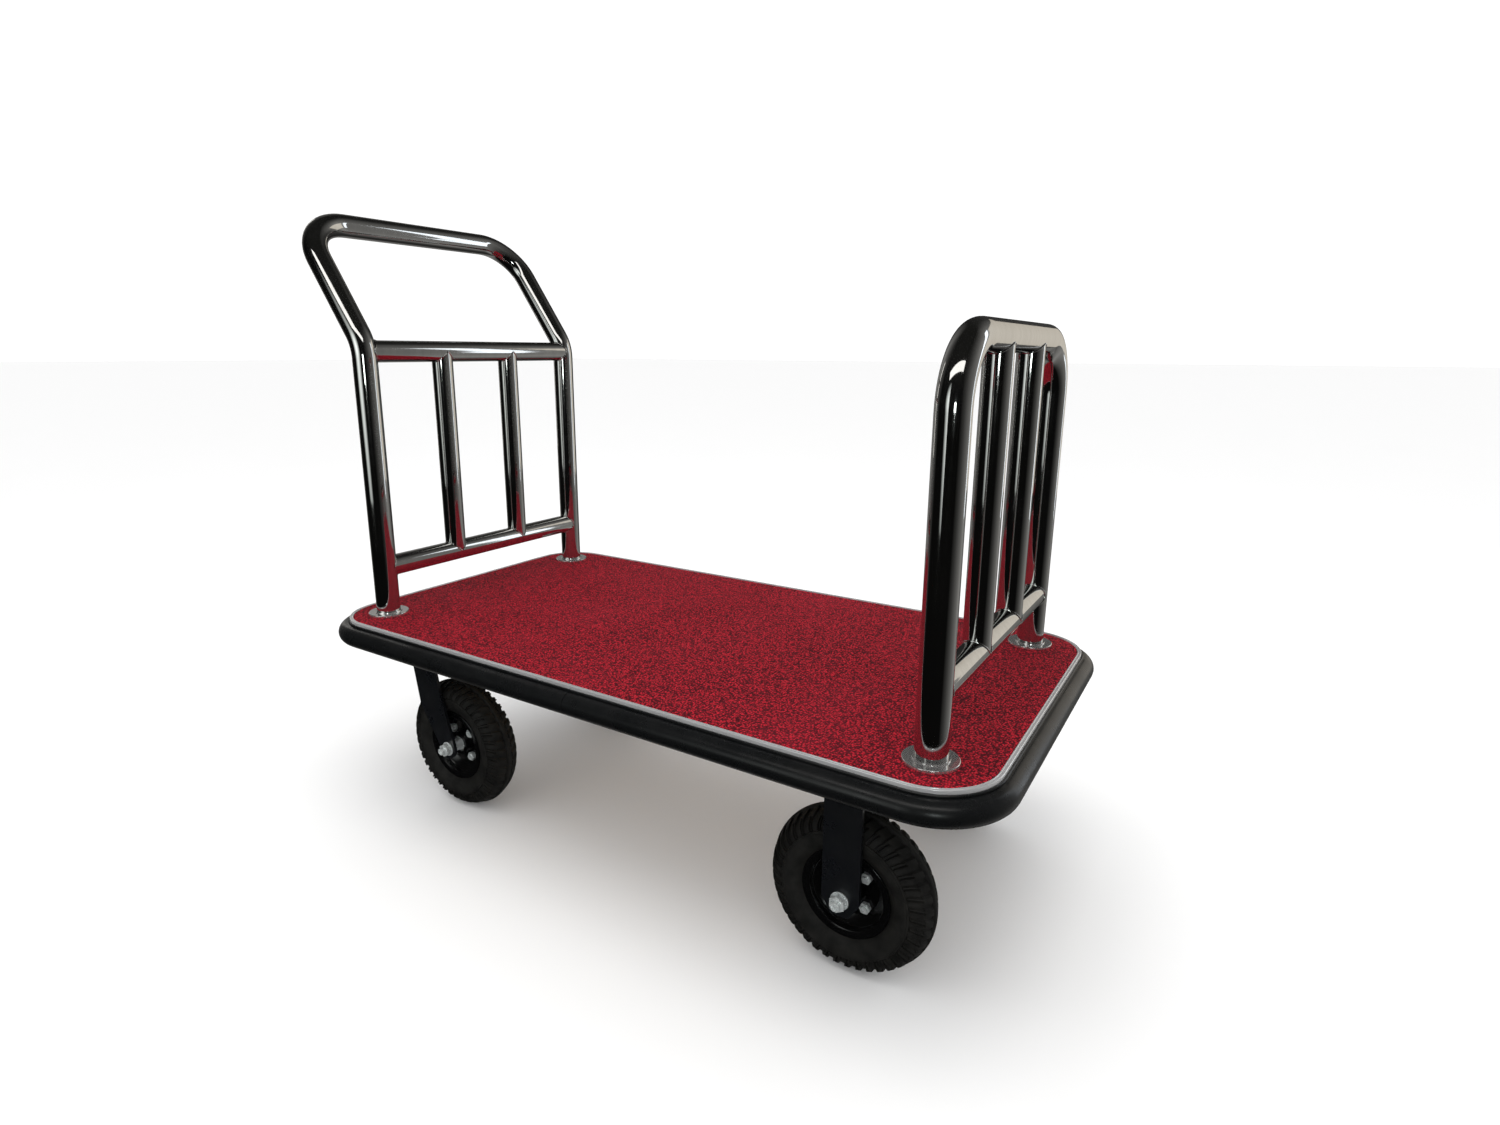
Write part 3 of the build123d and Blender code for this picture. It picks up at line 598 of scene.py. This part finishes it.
# ------------------------------------------------------------------ wheels
TREAD_PITCHES = 42  # blocks down each shoulder
PITCH_STEPS = 12  # turned steps for one block and its gap
TYRE_RADIUS = 108.0
CARCASS = [  # (radius, half width) from the bead out to the middle of the tread
    (51.1, 18.3), (58.3, 18.3), (59.6, 19.6), (62.5, 22.2), (66.0, 24.6), (70.0, 26.3),
    (74.0, 27.4), (78.0, 27.9), (80.6, 27.9), (81.0, 27.4), (81.9, 27.4), (82.3, 27.8),
    (83.6, 27.4), (84.2, 26.0), (86.5, 25.4), (89.0, 24.7), (91.5, 23.7), (94.0, 22.3),
    (96.3, 20.5), (98.2, 18.3), (99.9, 15.7), (101.3, 12.8), (102.4, 9.6), (103.2, 6.6),
    (103.6, 4.9), (106.6, 3.9), (107.7, 2.8), (108.0, 1.2),
]
LINING = [(100.5, 0.0), (95.0, 15.0), (80.0, 22.4), (62.0, 16.0), (51.1, 13.6)]
LUG_FOOT = 84.3  # radius where the blocks begin
LUG_TIP, LUG_EDGE = 5.0, 26.5  # a block's reach across the tread, from the middle
LUG_HEIGHT = 3.0
LUG_SLOPE = 0.9  # how far a block's walls lean in
LUG_SWEEP = 7.0  # degrees that a block leans by, from its foot to the crown
CROWN_RADIUS = 98.0  # a block is one step longer above this
NOTCH_RADIUS = 97.5  # a block has a notch below this


def tyre_at(centre):
    """Air tyre with a centre rib and blocks down both shoulders."""
    outside = [(r, -w) for r, w in CARCASS] + [(r, w) for r, w in reversed(CARCASS)]
    inside = [(r, w) for r, w in reversed(LINING)] + [(r, -w) for r, w in LINING[1:]]
    steps = TREAD_PITCHES * PITCH_STEPS
    tyre = turned(outside + inside, centre, steps, 40)
    edit_none(tyre, "FACE")
    shape = bmesh.from_edit_mesh(tyre.data)
    for face in shape.faces:
        spot = (face.calc_center_median() - Vector(centre)) / MM
        radius = math.hypot(spot.x, spot.z)
        step = math.degrees(math.atan2(spot.z, spot.x)) / 360 * steps
        offset = 0 if spot.y < 0 else PITCH_STEPS // 2
        beat = (step + offset) % PITCH_STEPS
        length = 7 if radius > CROWN_RADIUS else 6
        notch = radius < NOTCH_RADIUS and 2 < beat < 3
        face.select = (
            beat < length and not notch and radius > LUG_FOOT
            and face.normal.dot(spot) > 0 and LUG_TIP < abs(spot.y) < LUG_EDGE
        )
    shape.select_flush_mode()
    bmesh.update_edit_mesh(tyre.data)
    bpy.ops.mesh.inset(
        thickness=LUG_SLOPE * MM, depth=LUG_HEIGHT * MM,
        use_boundary=True, use_even_offset=True,
    )
    shape = bmesh.from_edit_mesh(tyre.data)
    for point in shape.verts:
        spot = point.co - Vector(centre)
        rise = math.hypot(spot.x, spot.z) / MM - LUG_FOOT
        if rise > 0:
            part = rise / (TYRE_RADIUS - LUG_FOOT)
            across = min(abs(spot.y) / MM / LUG_TIP, 1.0)
            turn = math.radians(LUG_SWEEP) * part * part * across
            point.co = Vector(centre) + Matrix.Rotation(turn, 3, "Y") @ spot
    bmesh.update_edit_mesh(tyre.data)
    bpy.ops.object.mode_set(mode="OBJECT")
    shade(32)
    return tyre


RIM_HALF = [  # outer half of the pressed rim, (radius, along the axle towards the nut)
    (17.6, 0.0), (39.0, 0.0), (50.8, 11.0), (50.8, 18.8), (58.0, 18.8), (58.6, 19.9),
    (58.0, 21.0), (51.5, 21.0), (48.6, 19.6), (48.2, 17.6), (48.2, 11.6), (46.4, 8.6),
    (37.6, 2.6), (35.6, 2.2), (20.6, 2.2), (19.8, 3.0), (19.8, 12.4), (18.6, 13.5),
    (13.0, 13.5), (13.0, 11.3), (17.6, 11.3),
]


def rim_at(centre, side):
    """One half of the rim, facing the nut (-1) or the bolt head (1)."""
    half = turned([(r, side * a) for r, a in RIM_HALF], centre, 96)
    return rounded(half, 0.5, 28)


centre_of = {}
for side in SIDES:
    centre_of["swivel", side] = hinge_at[f"swivel_wheel_spin_{side}"]
    centre_of["rigid", side] = hinge_at[f"rigid_wheel_spin_{side}"]


def four_wheels():
    """One wheel made at the right rigid caster and copied to all four."""
    first = centre_of["rigid", "right"]
    pattern = {
        "tyre": (tyre_at(first), "tyre"),
        "rim_outer": (rim_at(first, -1), "rim_paint"),
        "rim_inner": (rim_at(first, 1), "rim_paint"),
    }
    for (end, side), centre in centre_of.items():
        half_turn = Matrix.Rotation(math.pi if side == "left" else 0.0, 4, "Z")
        move = Matrix.Translation(centre) @ half_turn @ Matrix.Translation(-first)
        body = f"{end}_wheel_{side}"
        for name, (source, slot) in pattern.items():
            fit(twin(source, move), f"{end}_{name}_shape_{side}", body,
                [f"{end}_{name}_{side}"], slot)
        fit(softened(f"{end}_rim_bolts_{side}", 0.35), f"{end}_rim_bolts_shape_{side}",
            body, [f"{end}_rim_bolts_{side}"], "zinc")
    for source, _ in pattern.values():
        bpy.data.objects.remove(source)


four_wheels()

# ------------------------------------------------------------------ axles
LEG_FACE = 35.5  # from the wheel's middle to the outside of the leg
FLATS = 19.0  # across the flats of nuts and bolt heads
BORE = 5.8
WASHER = 1.4
NUT_HEIGHT, NUT_COLLAR = 8.0, 1.6
HEAD_HEIGHT, HEAD_COLLAR = 7.0, 0.6
SHANK_RADIUS = 6.0
HEAD_CAP = [(0.0, 8.2), (8.4, 8.2), (7.6, 8.9), (0.0, 8.9)]  # closes the bolt's head
THREAD_RADIUS, THREAD_PITCH, THREAD_TURNS, THREAD_DEPTH = 5.9, 1.25, 3, 0.7
BOLT_REACH = 15.6  # from the leg to the bolt's end
BOLT_CHAMFER = 0.8
SOCKET_DEPTH = 1.6  # hollow in the bolt's end


def fastener_at(centre, side, height, collar):
    """Lock nut or bolt head on its washer, standing out along Y."""
    centre = Vector(centre)
    rim = FLATS * 0.62
    washer = turned(
        [(BORE, 0.0), (rim, 0.0), (rim, side * WASHER), (BORE, side * WASHER)], centre, 40
    )
    rounded(washer, 0.3)
    let_go()
    bpy.ops.mesh.primitive_cylinder_add(
        vertices=6, radius=FLATS / math.sqrt(3) * MM, depth=height * MM,
        location=centre + Vector((0, side * (WASHER + height / 2) * MM, 0)),
        rotation=(math.pi / 2, 0, 0),
    )
    bake_place()
    hexagon = rounded(bpy.context.object, 0.7)
    start = side * (WASHER + height - 0.2)
    profile = [(BORE, start), (FLATS * 0.47, start)]
    for share, lift in ((0.45, 0.6), (0.40, 1.0), (0.36, 1.0), (0.35, 0.7)):
        profile.append((FLATS * share, start + side * collar * lift))
    profile.append((BORE, start + side * collar * 0.7))
    ring = turned(profile, centre, 40)
    rounded(ring, 0.25)
    return join([hexagon, washer, ring])


def threads_at(centre, side):
    """End of a bolt: thread crests as rings, a chamfer and a hollow face."""
    line = [(0.0, 0.0), (THREAD_RADIUS, 0.0)]
    start = BOLT_REACH - THREAD_TURNS * THREAD_PITCH - BOLT_CHAMFER
    for number in range(THREAD_TURNS):
        low = start + number * THREAD_PITCH
        line.append((THREAD_RADIUS, side * low))
        line.append((THREAD_RADIUS - THREAD_DEPTH, side * (low + THREAD_PITCH / 2)))
    for inward, back in (
        (0.0, BOLT_CHAMFER), (0.9, 0.0), (2.2, 0.0), (3.0, SOCKET_DEPTH),
        (THREAD_RADIUS, SOCKET_DEPTH),
    ):
        line.append((THREAD_RADIUS - inward, side * (BOLT_REACH - back)))
    return turned(line, centre, 32, 20)


def axle_parts():
    """Nut and bolt through each wheel, the nut on the outside."""
    for (end, side), centre in centre_of.items():
        out = SIDES[side]
        leg = Vector((0, out * (LEG_FACE * MM), 0))
        nut = fastener_at(centre + leg, out, NUT_HEIGHT, NUT_COLLAR)
        bolt_end = threads_at(centre + leg, out)
        head = fastener_at(centre - leg, -out, HEAD_HEIGHT, HEAD_COLLAR)
        inner = -out * 2 * LEG_FACE
        shank = turned(
            [(0.0, 0.0), (SHANK_RADIUS, 0.0), (SHANK_RADIUS, inner), (0.0, inner)],
            centre + leg, 32,
        )
        cap = turned([(r, -out * a) for r, a in HEAD_CAP], centre - leg, 32)
        if end == "swivel":
            prefix, body = "fork_axle", f"swivel_fork_{side}"
            nut_part, bolt_part = f"fork_axle_nut_{side}", f"fork_axle_bolt_{side}"
        else:
            prefix, body = "rigid_axle", "cart"
            nut_part, bolt_part = "rigid_axle_nuts", "rigid_axle_bolts"
        fit(nut, f"{prefix}_nut_shape_{side}", body, [nut_part], "zinc")
        bolt = join([head, shank, bolt_end, cap])
        fit(bolt, f"{prefix}_bolt_shape_{side}", body, [bolt_part], "zinc")


axle_parts()

# ------------------------------------------------------------------ caster plates and forks
PLATE_EDGE = 0.8
for side in SIDES:
    for name, body in (
        ("rigid_bracket", "cart"), ("swivel_plate", "cart"), ("fork", f"swivel_fork_{side}")
    ):
        fit(softened(f"{name}_{side}", PLATE_EDGE), f"{name}_shape_{side}", body,
            [f"{name}_{side}"], "black_steel")

# ------------------------------------------------------------------ edge trim and tubes
TUBES = (
    "handle_loop", "handle_rail_upper", "handle_rail_lower", "handle_slats", "end_loop",
    "end_rail", "end_slats",
)
trim_low, trim_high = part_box("edge_trim")
TRIM_REACH = 5.5 * MM  # width of its top
TRIM_CORNER = 76.0 * MM  # radius of its inner edge at a corner
TRIM_JOINT = 0.8 * MM  # gap where its ends meet
CORNER_STEPS = 14
TRIM_ROWS = [  # (reach from the inner edge, depth below the top) in millimetres
    (0.0, 1.5), (0.0, 0.3), (0.3, 0.0), (1.2, 0.0), (1.5, 0.2), (1.7, 0.7), (2.9, 0.7),
    (3.1, 0.2), (3.4, 0.0), (4.75, 0.0), (5.13, 0.1), (5.4, 0.37), (5.5, 0.75), (5.5, 21.0),
    (4.0, 21.0), (4.0, 1.5), (0.0, 1.5),
]


def grooved_trim():
    """Bright edge trim round the deck, with a shallow groove along its top."""
    middle = (trim_low + trim_high) / 2
    core = (trim_high - trim_low) / 2 - Vector((1, 1, 0)) * (TRIM_REACH + TRIM_CORNER)
    line = [(middle.x + TRIM_JOINT / 2, -core.y - TRIM_CORNER, trim_high.z)]
    for turn, x_sign, y_sign in ((-90, 1, -1), (0, 1, 1), (90, -1, 1), (180, -1, -1)):
        for number in range(CORNER_STEPS + 1):
            angle = math.radians(turn + 90 * number / CORNER_STEPS)
            line.append((
                middle.x + x_sign * core.x + TRIM_CORNER * math.cos(angle),
                y_sign * core.y + TRIM_CORNER * math.sin(angle),
                trim_high.z,
            ))
    line.append((middle.x - TRIM_JOINT / 2, -core.y - TRIM_CORNER, trim_high.z))
    point_at(line[0])
    draw_on(line)
    bpy.ops.mesh.select_all(action="SELECT")
    bpy.ops.mesh.remove_doubles(threshold=SMALL)
    for number, (reach, depth) in enumerate(TRIM_ROWS):
        if number:
            bpy.ops.mesh.extrude_region_move()
        else:
            bpy.ops.mesh.select_all(action="SELECT")
        shape = bmesh.from_edit_mesh(bpy.context.object.data)
        for point in (one for one in shape.verts if one.select):
            hub = Vector((
                min(max(point.co.x, middle.x - core.x), middle.x + core.x),
                min(max(point.co.y, -core.y), core.y), 0,
            ))
            way = Vector((point.co.x - hub.x, point.co.y - hub.y, 0))
            point.co = hub + way.normalized() * (TRIM_CORNER + reach * MM)
            point.co.z = trim_high.z - depth * MM
        bmesh.update_edit_mesh(bpy.context.object.data)
    bpy.ops.mesh.select_all(action="SELECT")
    bpy.ops.mesh.remove_doubles(threshold=SEAM)
    bpy.ops.mesh.fill_holes(sides=0)
    return tidy_shell(32)


fit(grooved_trim(), "edge_trim_shape", "cart", ["edge_trim"], "bright_trim")
fit(softened("post_flanges", 0.2), "post_flanges_shape", "cart", ["post_flanges"],
    "bright_trim", flange_chrome())
fit(smoothed("bumper"), "bumper_shape", "cart", ["bumper"], "bumper_rubber")
for name in TUBES:
    fit(smoothed(name), f"{name}_shape", "cart", [name], "polished_tube")

# ------------------------------------------------------------------ carpet
carpet_low, carpet_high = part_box("carpet")
PILE_CELL = 2.75 * MM
PILE_CORNER = 79.7 * MM  # radius of its corners
UNDER_TRIM = 3.4 * MM  # width that the trim covers
EDGE_FALL = 4.0 * MM  # width over which it rounds down to that
EDGE_DROP = 1.6 * MM
SIDE_SHORT = 2.2 * MM  # how far its sides stop above its underside


def carpet_pile():
    """Top of the carpet, rounded down to its edge under the trim."""
    size = carpet_high - carpet_low
    middle = (carpet_high + carpet_low) / 2
    let_go()
    bpy.ops.mesh.primitive_grid_add(
        x_subdivisions=round(size.x / PILE_CELL), y_subdivisions=round(size.y / PILE_CELL),
        size=1, location=(middle.x, middle.y, carpet_high.z),
    )
    pile = bpy.context.object
    pile.scale = (size.x, size.y, 1)
    bake_place()
    edit_none(pile)
    shape = bmesh.from_edit_mesh(pile.data)
    for point in shape.verts:
        dx = max(abs(point.co.x - middle.x) - (size.x / 2 - PILE_CORNER), 0)
        dy = max(abs(point.co.y - middle.y) - (size.y / 2 - PILE_CORNER), 0)
        inside = PILE_CORNER - math.hypot(dx, dy)
        point.select = inside < -0.2 * MM
        fall = min(max((UNDER_TRIM + EDGE_FALL - inside) / EDGE_FALL, 0), 1)
        point.co.z -= EDGE_DROP * fall * fall
    bmesh.update_edit_mesh(pile.data)
    bpy.ops.mesh.delete(type="VERT")
    bpy.ops.object.mode_set(mode="OBJECT")
    tufts = bpy.data.textures.new("tufts", "CLOUDS")
    tufts.noise_scale = 0.006
    lift = pile.modifiers.new("tufts", "DISPLACE")
    lift.texture = tufts
    lift.texture_coords = "LOCAL"
    lift.direction = "Z"
    lift.mid_level = 0.5
    lift.strength = 0.7 * MM
    bpy.ops.object.modifier_apply(modifier=lift.name)
    edit_none(pile, "EDGE")
    bpy.ops.mesh.select_non_manifold(extend=False)
    bpy.ops.mesh.extrude_region_move(
        TRANSFORM_OT_translate={"value": (0, 0, carpet_low.z - carpet_high.z + SIDE_SHORT)}
    )
    bpy.ops.object.mode_set(mode="OBJECT")
    bpy.ops.object.shade_smooth()
    return pile


fit(carpet_pile(), "carpet_pile", "cart", ["carpet"], "carpet")

# ------------------------------------------------------------------ weld beads
BEAD = 1.5 * MM
BEAD_PUDDLES = 48  # points round one bead
POST_R, RAIL_R = 19 * MM, 17.5 * MM  # outer radii of the tubes


def bead(points):
    """A weld bead along a closed line, with the ripples of its puddles."""
    curve = bpy.data.curves.new("bead", "CURVE")
    curve.dimensions = "3D"
    curve.bevel_depth = BEAD
    curve.bevel_resolution = 2
    curve.resolution_u = 2
    line = curve.splines.new("NURBS")
    line.points.add(len(points) - 1)
    for number, (spot, point) in enumerate(zip(points, line.points)):
        point.co = (*spot, 1.0)
        point.radius = 1.0 if number % 2 else 0.78
    line.order_u = 3
    line.use_cyclic_u = True
    made = bpy.data.objects.new("bead", curve)
    bpy.context.scene.collection.objects.link(made)
    take(made)
    bpy.ops.object.convert(target="MESH")
    bpy.ops.object.shade_smooth()
    return bpy.context.object


def saddle(centre, along, round_axis, small, big, sign):
    """Where a tube of radius small, lying along one axis, meets a tube of radius big."""
    along, cross = Vector(along), Vector(round_axis)
    third = along.cross(cross)
    points = []
    for number in range(BEAD_PUDDLES):
        turn = math.tau * number / BEAD_PUDDLES
        off = third * small * math.cos(turn) + cross * small * math.sin(turn)
        reach = math.sqrt(max(big**2 - (small * math.cos(turn)) ** 2, 0))
        points.append(Vector(centre) + off + along * sign * reach)
    return points


def tube_welds():
    """Beads where the rails meet the posts and the slats meet the rails."""
    rail_up, rail_low, rail_end = (
        sum(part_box(name), Vector()) / 2
        for name in ("handle_rail_upper", "handle_rail_lower", "end_rail")
    )
    loop_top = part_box("end_loop")[1]
    hoop_z = loop_top.z - POST_R
    post_y = loop_top.y - POST_R
    slat_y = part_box("handle_slats")[1].y - RAIL_R
    beads = []
    for rail in (rail_up, rail_low, rail_end):
        for out in SIDES.values():
            spot = (rail.x, out * post_y, rail.z)
            beads.append(bead(saddle(spot, (0, 1, 0), (0, 0, 1), RAIL_R, POST_R, -out)))
    for x, low_z, high_z, big in (
        (rail_low.x, rail_low.z, rail_up.z, RAIL_R),
        (rail_end.x, rail_end.z, hoop_z, POST_R),
    ):
        for out in SIDES.values():
            spot = Vector((x, out * slat_y, low_z))
            beads.append(bead(saddle(spot, (0, 0, 1), (0, 1, 0), RAIL_R, RAIL_R, 1)))
            spot.z = high_z
            beads.append(bead(saddle(spot, (0, 0, 1), (0, 1, 0), RAIL_R, big, -1)))
    return join(beads)


fit(tube_welds(), "weld_beads", "cart", [], "polished_tube")

# ------------------------------------------------------------------ floor, light and camera
def stage_material():
    """Pale matt floor."""
    made = Finish("pale_floor", (0.92, 0.92, 0.92), 0.8, Specular_IOR_Level=0.1)
    made.patchy(2.0, 0.76, 0.84)
    return made.material


let_go()
bpy.ops.mesh.primitive_plane_add(size=2, location=(0, 0, 0))
floor = bpy.context.object
floor.name = "floor"
edit_all(floor)
bpy.ops.transform.resize(value=(60, 60, 1))
settle()
floor.data.materials.append(stage_material())
floor.visible_glossy = False


def panel(name, spot, aim, size, power, colour, lights_all=False):
    """Soft panel that isn't seen itself; most only show as reflections in the tubes."""
    lamp = bpy.data.lights.new(name, "AREA")
    lamp.shape = "RECTANGLE"
    lamp.size, lamp.size_y = size
    lamp.energy = power
    lamp.color = colour
    made = bpy.data.objects.new(name, lamp)
    bpy.context.scene.collection.objects.link(made)
    made.location = spot
    made.rotation_euler = (Vector(aim) - Vector(spot)).to_track_quat("-Z", "Y").to_euler()
    made.visible_camera = False
    made.visible_diffuse = lights_all
    return made


overhead = panel(
    "overhead", (0.2, -0.6, 3.0), (0, 0, 0.3), (2.4, 2.0), 26, (1.0, 0.99, 0.97), True
)
overhead.visible_glossy = False
panel("ceiling_glow", (0.6, -1.7, 2.6), (0, 0, 0.3), (3.2, 0.6), 10, (1.0, 0.98, 0.95))
panel("warm_wall", (1.3, 3.2, 1.2), (0.2, 0, 0.6), (1.7, 2.4), 7, (1.0, 0.91, 0.77))
panel("cool_strip", (2.3, 2.5, 1.2), (0.2, 0, 0.6), (0.35, 2.6), 5, (0.86, 0.93, 1.0))
panel("left_strip", (-3.0, 0.6, 1.3), (-0.2, 0, 0.6), (0.22, 2.2), 1.8, (1.0, 0.97, 0.92))
left_card = panel(
    "left_card", (-0.75, -1.9, 1.0), (-0.5, 0.0, 0.7), (1.8, 1.6), 1.2, (0.95, 1.0, 0.97)
)
left_card.data.spread = math.radians(50)
panel("front_card", (1.9, -3.0, 0.9), (0.3, -0.2, 0.2), (0.5, 0.5), 6, (0.92, 1.0, 0.98))

DOME = (1.1, 1.1, 1.1, 1)  # the pale light that falls on everything
CEILING = (0.012, 0.012, 0.011, 1)
WALLS = [  # (share of the way round, brightness) of the room that the tubes reflect
    (0.0, 0.06), (0.05, 0.004), (0.42, 0.004), (0.49, 0.05), (0.60, 0.18), (0.66, 0.30),
    (0.75, 0.05), (0.83, 0.015), (0.90, 0.26), (1.0, 0.06),
]


def studio_room():
    """A pale dome for light, and a dim room for reflections only."""
    world = bpy.data.worlds.new("room")
    world.use_nodes = True
    tree = world.node_tree
    way = node(tree, "ShaderNodeTexCoord").outputs["Generated"]
    around = node(tree, "ShaderNodeTexGradient", gradient_type="RADIAL")
    link(tree, way, around.inputs["Vector"])
    walls = node(tree, "ShaderNodeValToRGB")
    link(tree, around.outputs["Fac"], walls.inputs["Fac"])
    stops = walls.color_ramp.elements
    for number, (share, bright) in enumerate(WALLS):
        stop = stops[number] if number < 2 else stops.new(share)
        stop.position = share
        stop.color = (bright, bright * 0.98, bright * 0.94, 1)
    height = node(tree, "ShaderNodeSeparateXYZ")
    link(tree, way, height.inputs["Vector"])
    dim_room = node(tree, "ShaderNodeMix", data_type="RGBA")
    link(tree, ranged(tree, height.outputs["Z"], 0.35, 0.85), dim_room.inputs["Factor"])
    link(tree, walls.outputs["Color"], dim_room.inputs[MIX_FIRST])
    dim_room.inputs[MIX_SECOND].default_value = CEILING
    look = node(tree, "ShaderNodeMix", data_type="RGBA")
    glossy = node(tree, "ShaderNodeLightPath").outputs["Is Glossy Ray"]
    link(tree, glossy, look.inputs["Factor"])
    look.inputs[MIX_FIRST].default_value = DOME
    link(tree, dim_room.outputs[MIX_RESULT], look.inputs[MIX_SECOND])
    backdrop = tree.nodes["Background"]
    link(tree, look.outputs[MIX_RESULT], backdrop.inputs["Color"])
    backdrop.inputs["Strength"].default_value = 1.0
    return world


bpy.context.scene.world = studio_room()

lens = bpy.data.cameras.new("camera")
lens.sensor_width = 36.0
lens.lens = 19.78
lens.shift_x = 0.0143
lens.shift_y = -0.0120
camera = bpy.data.objects.new("camera", lens)
bpy.context.scene.collection.objects.link(camera)
camera.location = (0.7676, -1.0365, 0.7477)
camera.rotation_euler = (math.pi / 2 - 0.2309, -0.003, 0.5729)
bpy.context.scene.camera = camera
bpy.context.scene.view_settings.view_transform = "Standard"
